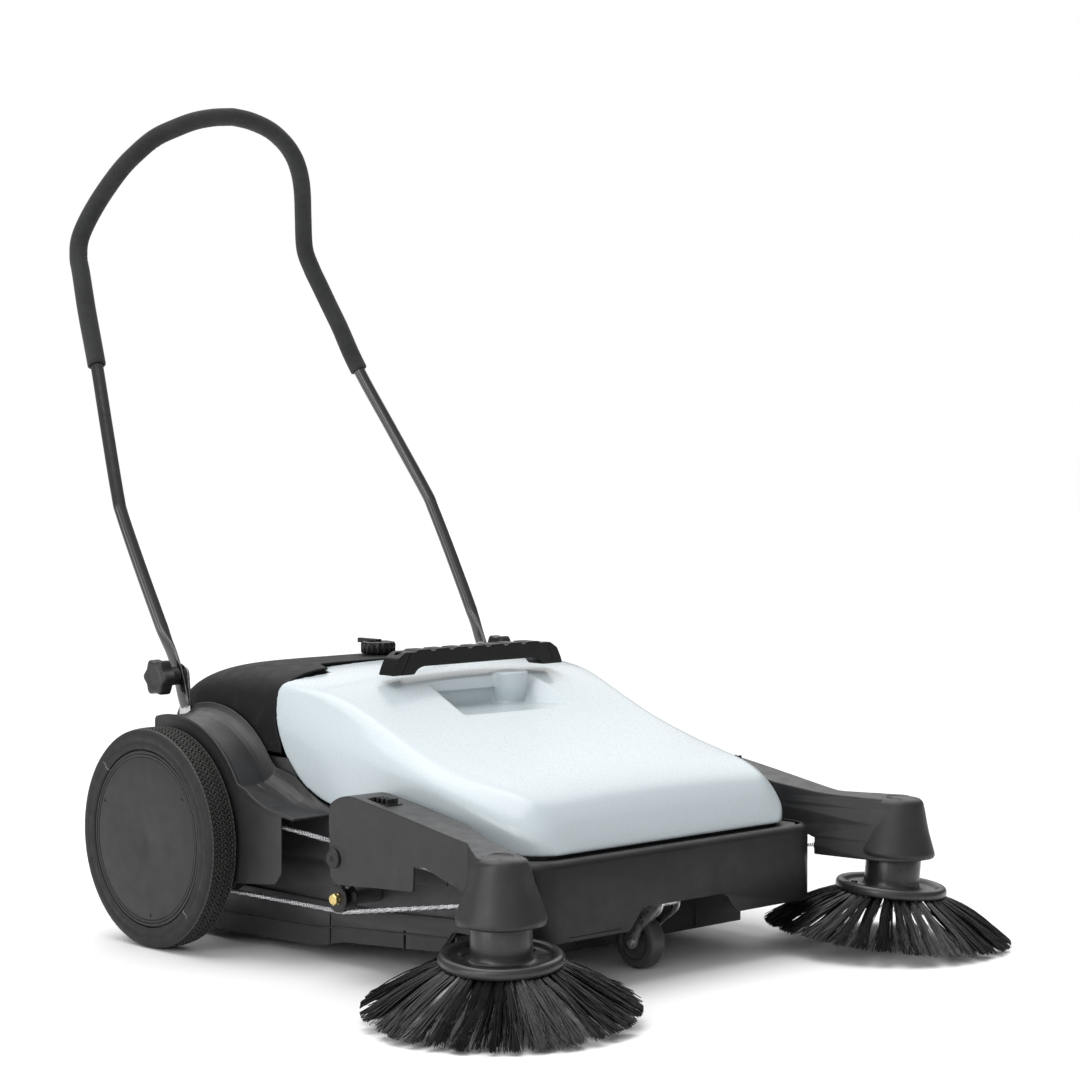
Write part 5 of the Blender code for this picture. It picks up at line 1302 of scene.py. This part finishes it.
def main_broom_tufts():
    rng = np.random.RandomState(5)
    rows, cols = 8, 46
    paths, radii = [], []
    for k in range(rows):
        for i in range(cols):
            x0 = -BROOM_HALF + 0.004 + (2 * BROOM_HALF - 0.008) * (i + 0.5) / cols
            th0 = 2 * math.pi * k / rows + 1.1 * (x0 / BROOM_HALF)
            for b in range(14):
                dx, dt = rng.normal(0, 0.0022), rng.normal(0, 0.030)
                ex, et = rng.normal(0, 0.0038), rng.normal(0, 0.050)
                tip = BROOM_R - 0.0006 - abs(rng.normal(0, 0.0012))
                st = np.linspace(0, 1, 5)
                r = 0.0452 + (tip - 0.0452) * st
                th = th0 + dt + et * st
                x = np.clip(x0 + dx + ex * st, -BROOM_HALF + 0.0005, BROOM_HALF - 0.0005)
                paths.append(np.stack([x, BROOM_Y + r * np.cos(th), BROOM_Z + r * np.sin(th)], axis=1))
                radii.append(0.00055 + rng.uniform(0, 0.0002))
    ob = tube_bundle("main_broom_tufts", None, np.array(paths), np.array(radii))
    show(ob, M_BRISTLE, "main_broom", ["broom_bristles"], 60)


# ------------------------------------------------------------------ push handle
HANDLE = [(0.2503, 0.0440, 0.2760), (0.2503, 0.0500, 0.2900), (0.2503, 0.0580, 0.3125),
          (0.2508, 0.0700, 0.3380), (0.2530, 0.0840, 0.3630), (0.2550, 0.1290, 0.4395),
          (0.2550, 0.1670, 0.5040), (0.2525, 0.1800, 0.5270), (0.2345, 0.2290, 0.6100),
          (0.2165, 0.2770, 0.6920), (0.2070, 0.3110, 0.7570), (0.1970, 0.3400, 0.8120),
          (0.1930, 0.3515, 0.8350), (0.1850, 0.3570, 0.8630), (0.1700, 0.3410, 0.9050),
          (0.1500, 0.3190, 0.9460), (0.1310, 0.3050, 0.9710), (0.1100, 0.2950, 0.9900),
          (0.0860, 0.2860, 1.0030), (0.0600, 0.2800, 1.0135), (0.0300, 0.2765, 1.0205),
          (0.0, 0.2755, 1.0235)]
GRIP_START = 9


def handle_line(per=12):
    half = [Vector(r) for r in catmull(HANDLE, per)]
    return half + [Vector((-p.x, p.y, p.z)) for p in reversed(half[:-1])]


def push_handle():
    per = 12
    line = handle_line(per)
    pts = [Vector(p) for p in resample(line, 0.0045)]
    rad = []
    for p in pts:
        t = min(max((p.z - 0.336) / 0.034, 0.0), 1.0)
        t = t * t * (3 - 2 * t)
        rad.append((0.0024 + (TUBE_R - 0.0024) * t, 0.0102 + (TUBE_R - 0.0102) * t))
    # softened ends of the flattened tube
    for k, f in ((0, 0.80), (1, 0.96)):
        for i in (k, len(pts) - 1 - k):
            rad[i] = (rad[i][0] * f, rad[i][1] * f)
    ob = thing("push_handle_tube", sweep(pts, rad, 32))
    for s in (-1, 1):
        csg(ob, thing("h", rod((s * 0.24, HINGE_Y, HINGE_Z), (s * 0.262, HINGE_Y, HINGE_Z), 0.0044, 32)))
    show(ob, M_PAINT, "handlebar", ["handle_tube"], 40)

    # foam sleeve with soft wrinkles on the inside of its bends and cut ends
    half = [Vector(r) for r in catmull(HANDLE, per)][GRIP_START * per:]
    gp = half + [Vector((-p.x, p.y, p.z)) for p in reversed(half[:-1])]
    gp = [Vector(p) for p in resample(gp, 0.0022)]
    fr = frames_along(gp)
    m, n = len(gp), 48
    rng = random.Random(4)
    phase = [rng.uniform(0, 6.28) for _ in range(6)]
    verts, faces = [], []

    def ring(i, r, wobble=True):
        p, t, nn, sd = fr[i]
        k0, k1 = fr[max(i - 6, 0)][1], fr[min(i + 6, m - 1)][1]
        bend = (k1 - k0)
        amount = min(bend.length / 0.30, 1.0)
        inner_dir = bend.normalized() if bend.length > 1e-5 else nn
        s_ = i * 0.0022
        row = []
        for j in range(n):
            q = 2 * math.pi * j / n
            d = nn * math.cos(q) + sd * math.sin(q)
            rr = r
            if wobble:
                rr += 0.00012 * math.sin(s_ * 95 + phase[0]) * math.cos(q + phase[1])
                rr += 0.00010 * math.sin(s_ * 41 + phase[2] + 2 * q)
                face_in = max(d.dot(inner_dir), 0.0)
                rr -= 0.00042 * amount * face_in ** 2 * (0.5 + 0.5 * math.sin(s_ * 880 + 2.0 * math.sin(q * 3 + s_ * 60)))
            row.append(p + d * rr)
        return row

    rings = [ring(0, TUBE_R + 0.0006, False), ring(0, FOAM_R - 0.0009, False)]
    e = 1
    rings.append([v + fr[0][1] * 0.0008 for v in ring(0, FOAM_R - 0.0001, False)])
    for i in range(1, m - 1):
        rings.append(ring(i, FOAM_R))
    rings.append([v - fr[m - 1][1] * 0.0008 for v in ring(m - 1, FOAM_R - 0.0001, False)])
    rings.append(ring(m - 1, FOAM_R - 0.0009, False))
    rings.append(ring(m - 1, TUBE_R + 0.0006, False))
    for i in range(m - 2, 0, -6):
        rings.append(ring(i, TUBE_R + 0.0006, False))
    ob = thing("foam_sleeve", loft(rings, closed=True))
    show(ob, M_FOAM, "handlebar", ["foam_grip"], 45)

    for side, s in SIDES:
        def lobed(r, d):
            return lambda t: r - d * (0.5 - 0.5 * math.cos(6 * t)) ** 0.8

        rows = [(0.2420, lobed(0.0040, 0)), (0.2537, lobed(0.0040, 0)), (0.2538, lobed(0.0104, 0)),
                (0.2545, lobed(0.0110, 0)), (0.2660, lobed(0.0116, 0)), (0.2682, lobed(0.0130, 0)),
                (0.2694, lobed(0.0170, 0.0010)), (0.2700, lobed(0.0208, 0.0030)), (0.2712, lobed(0.0226, 0.0042)),
                (0.2730, lobed(0.0232, 0.0046)), (0.2825, lobed(0.0232, 0.0046)), (0.2848, lobed(0.0228, 0.0044)),
                (0.2862, lobed(0.0217, 0.0040)), (0.2869, lobed(0.0200, 0.0034)), (0.2871, lobed(0.0172, 0.0022)),
                (0.2868, lobed(0.0130, 0.0)), (0.2864, lobed(0.0120, 0.0)), (0.2864, lobed(0.0060, 0.0)),
                (0.2864, lobed(0.0006, 0.0))]
        ob = thing(f"{side}_clamp_knob_head", star(rows, (0, HINGE_Y, HINGE_Z), (s, 0, 0), 180))
        show(ob, M_BLACK, f"{side}_clamp_knob", [f"{side}_handle_knob"], 35)


# ------------------------------------------------------------------ caster
def caster():
    cy, tr, r = CASTER_Y, CASTER_TRAIL, CASTER_R
    ob = thing("caster_top_plate", block(-0.030, 0.030, cy - 0.026, cy + 0.026, 0.0898, 0.0932))
    bevel(ob, 0.0012, 3)
    for x in (-0.022, 0.022):
        for y in (cy - 0.018, cy + 0.018):
            csg(ob, thing("b", star([(0, lambda t: 0.0042), (0.0022, lambda t: 0.0042), (0.0028, lambda t: 0.0036)],
                                    (x, y, 0.0899), (0, 0, -1), 6)), 'UNION')
    show(ob, M_ZINC, "chassis", ["caster_plate"], 30)
    ob = thing("caster_yoke_body", turn([(0, 0.0775), (0.0150, 0.0775), (0.0176, 0.0785), (0.0192, 0.0800), (0.0200, 0.0818),
                                         (0.0200, 0.0846), (0.0194, 0.0856), (0.0180, 0.0862), (0.0176, 0.0872),
                                         (0.0182, 0.0884), (0.0178, 0.0895), (0, 0.0895)], (0, cy, 0), (0, 0, 1), 72))
    leg = [(cy - 0.0160, 0.0815), (cy - 0.0060, 0.0835), (cy + 0.0165, 0.0815), (cy + 0.0225, 0.0700), (cy + tr + 0.0060, 0.0480),
           (cy + tr + 0.0092, 0.036), (cy + tr + 0.0078, 0.0262), (cy + tr, 0.0222), (cy + tr - 0.0078, 0.0262),
           (cy + tr - 0.0100, 0.034), (cy + tr - 0.0180, 0.0500), (cy - 0.0120, 0.0700)]
    leg = rounded_yz(leg, 0.005, 4)
    for s in (-1, 1):
        csg(ob, thing("leg", prism_x(leg, s * 0.0126, s * 0.0150)), 'UNION')
        csg(ob, thing("sh", loft([[(s * x, y, z) for x, y, z in ((0.0080, cy - 0.015, 0.0785), (0.0080, cy + 0.016, 0.0785), (0.0126, cy + 0.016, 0.0785), (0.0126, cy - 0.015, 0.0785))],
                                  [(s * x, y, z) for x, y, z in ((0.0080, cy - 0.015, 0.0810), (0.0080, cy + 0.016, 0.0810), (0.0148, cy + 0.016, 0.0810), (0.0148, cy - 0.015, 0.0810))]])), 'UNION')
        csg(ob, thing("nut", star([(0, lambda t: 0.0056), (0.0032, lambda t: 0.0056), (0.0038, lambda t: 0.0048)],
                                  (s * 0.0148, cy + tr, r), (s, 0, 0), 6)), 'UNION')
    csg(ob, thing("pin", rod((-0.0150, cy + tr, r), (0.0150, cy + tr, r), 0.0035, 32)), 'UNION')
    bevel(ob, 0.0004, 2, 35)
    show(ob, M_ZINC, "caster_yoke", ["caster_fork"], 30)
    prof = [(0.0039, -0.0118), (0.0078, -0.0118), (0.0084, -0.0112), (0.0086, -0.0098), (0.0120, -0.0092), (0.0185, -0.0088),
            (0.0200, -0.0092), (0.0206, -0.0102), (0.0216, -0.0110), (0.0262, -0.0111), (0.0286, -0.0106), (0.0300, -0.0092),
            (0.0308, -0.0068), (r, -0.0035), (r, 0.0035), (0.0308, 0.0068), (0.0300, 0.0092), (0.0286, 0.0106),
            (0.0262, 0.0111), (0.0216, 0.0110), (0.0206, 0.0102), (0.0200, 0.0092), (0.0185, 0.0088), (0.0120, 0.0092),
            (0.0086, 0.0098), (0.0084, 0.0112), (0.0078, 0.0118), (0.0039, 0.0118)]
    ob = thing("caster_roller_tyre", turn(prof, (0, cy + tr, r), (1, 0, 0), 120))
    show(ob, M_CASTER, "caster_roller", ["caster_wheel"], 35)


# ------------------------------------------------------------------ build everything
hopper_skin()
carry_handle()
rear_shell()
height_knob()

fr = fender("right")
fl = mirrored(fr, "left_fender_shell")
show(fr, M_BLACK, "chassis", ["right_fender"], 180)
show(fl, M_BLACK, "chassis", ["left_fender"], 180)

ar = arm_shell()
al = mirrored(ar, "left_arm_shell")
show(ar, M_BLACK, "right_arm", ["right_arm_cover"], 180)
show(al, M_BLACK, "left_arm", ["left_arm_cover"], 180)

bumper()
low_panels()
for side, s in SIDES:
    bracket(side, s)
    side_plate(side, s)
    side_skirt(side, s)
    tyre(side, s)
    disc(side, s)
    rim(side, s)
    arm_insert(s, side)
    arm_pin(side, s)
    idler(side, s)
    spring_belts(side, s)
    side_bristles(side, s)
    brush_disc(side, s)
main_broom_tufts()
push_handle()
caster()

# CAD nodes that keep their own shape get their finish here
KEPT = {"axle_stub": M_ZINC, "drive_gear": M_DARK, "pinion": M_DARK, "belt_pulley": M_DARK, "brush_pulley": M_DARK}
for side, _ in SIDES:
    for k, m in KEPT.items():
        me = NODES[f"{side}_{k}"].data
        me.materials.clear()
        me.materials.append(m)
for k, m in {"broom_core": M_DARK, "broom_carrier": M_SHEET, "front_crossmember": M_SHEET, "height_spindle": M_ZINC,
             "hopper_tub": M_DARK}.items():
    me = NODES[k].data
    me.materials.clear()
    me.materials.append(m)


# ------------------------------------------------------------------ floor, light, camera
def plain(name, color, rough):
    m = bpy.data.materials.new(name)
    m.use_nodes = True
    b = m.node_tree.nodes["Principled BSDF"]
    b.inputs["Base Color"].default_value = (*color, 1)
    b.inputs["Roughness"].default_value = rough
    b.inputs["Specular IOR Level"].default_value = 0.1
    return m


me = bpy.data.meshes.new("floor")
me.from_pydata([(-14, -14, 0), (14, -14, 0), (14, 14, 0), (-14, 14, 0)], [], [(0, 1, 2, 3)])
floor = bpy.data.objects.new("floor", me)
SCN.collection.objects.link(floor)
me.materials.append(plain("floor_white", (0.93, 0.93, 0.93), 0.8))

world = bpy.data.worlds.new("studio")
SCN.world = world
world.use_nodes = True
wt = world.node_tree
for n in list(wt.nodes):
    wt.nodes.remove(n)


def wnode(kind, **kw):
    n = wt.nodes.new(kind)
    for k, v in kw.items():
        setattr(n, k, v)
    return n


def toward(direction, lo, hi, amount):
    """Brightness that grows from lo to hi of the cosine towards a direction."""
    dot = wnode("ShaderNodeVectorMath", operation='DOT_PRODUCT')
    dot.inputs[1].default_value = Vector(direction).normalized()
    wt.links.new(coord.outputs["Generated"], dot.inputs[0])
    r = wnode("ShaderNodeMapRange", interpolation_type='SMOOTHSTEP')
    r.inputs["From Min"].default_value, r.inputs["From Max"].default_value = lo, hi
    r.inputs["To Min"].default_value, r.inputs["To Max"].default_value = 0.0, amount
    wt.links.new(dot.outputs["Value"], r.inputs["Value"])
    return r.outputs["Result"]


coord = wnode("ShaderNodeTexCoord")
level = None
for spec in (((0.48, 0.46, 0.75), 0.73, 0.90, 1.30), ((-1.0, 0.20, 0.12), 0.92, 0.985, 2.70), ((-0.7, 0.7, 0.1), 0.45, 1.0, 0.22),
             ((0, 0, 1), 0.2, 0.9, 0.30), ((-0.75, -0.45, 0.50), 0.93, 0.99, 1.2),
             ((-0.60, -0.75, 0.30), 0.30, 0.95, 0.30)):
    v = toward(*spec)
    if level is None:
        base = wnode("ShaderNodeMath", operation='ADD')
        base.inputs[1].default_value = 0.16
        wt.links.new(v, base.inputs[0])
        level = base.outputs[0]
    else:
        add = wnode("ShaderNodeMath", operation='ADD')
        wt.links.new(level, add.inputs[0])
        wt.links.new(v, add.inputs[1])
        level = add.outputs[0]
soft = wnode("ShaderNodeBackground")
soft.inputs["Color"].default_value = (1.0, 1.0, 1.0, 1)
wt.links.new(level, soft.inputs["Strength"])
white = wnode("ShaderNodeBackground")
white.inputs["Color"].default_value = (1.0, 1.0, 1.0, 1)
white.inputs["Strength"].default_value = 1.0
path = wnode("ShaderNodeLightPath")
pick = wnode("ShaderNodeMixShader")
wt.links.new(path.outputs["Is Camera Ray"], pick.inputs["Fac"])
wt.links.new(soft.outputs[0], pick.inputs[1])
wt.links.new(white.outputs[0], pick.inputs[2])
out = wnode("ShaderNodeOutputWorld")
wt.links.new(pick.outputs[0], out.inputs["Surface"])

TARGET = Vector((0, 0, 0.2))


def softbox(name, loc, size, power, color=(1, 1, 1), target=TARGET):
    d = bpy.data.lights.new(name, 'AREA')
    d.shape = 'RECTANGLE'
    d.size, d.size_y = size
    d.energy = power
    d.color = color
    o = bpy.data.objects.new(name, d)
    o.location = loc
    o.rotation_euler = (target - Vector(loc)).to_track_quat('-Z', 'Y').to_euler()
    SCN.collection.objects.link(o)
    return o


sun = bpy.data.lights.new("overhead", 'SUN')
sun.energy = 1.50
sun.angle = math.radians(50)
so = bpy.data.objects.new("overhead", sun)
so.rotation_euler = (math.radians(-8), math.radians(-10), 0)
SCN.collection.objects.link(so)
softbox("left_strip", (-3.0, -0.9, 1.3), (0.5, 1.8), 14)

SCN.view_settings.view_transform = 'Standard'
SCN.view_settings.look = 'None'

cam = bpy.data.cameras.new("camera")
cam.sensor_width = 36.0
cam.sensor_fit = 'HORIZONTAL'
cam.lens = 89.98
cam.clip_start, cam.clip_end = 0.05, 60
az, pt = math.radians(43.51), math.radians(2.40)
co = bpy.data.objects.new("camera", cam)
co.location = (-2.1785, -2.6097 + AY, 0.6138)
d = Vector((math.sin(az) * math.cos(pt), math.cos(az) * math.cos(pt), -math.sin(pt)))
co.rotation_euler = d.to_track_quat('-Z', 'Y').to_euler()
SCN.collection.objects.link(co)
SCN.camera = co
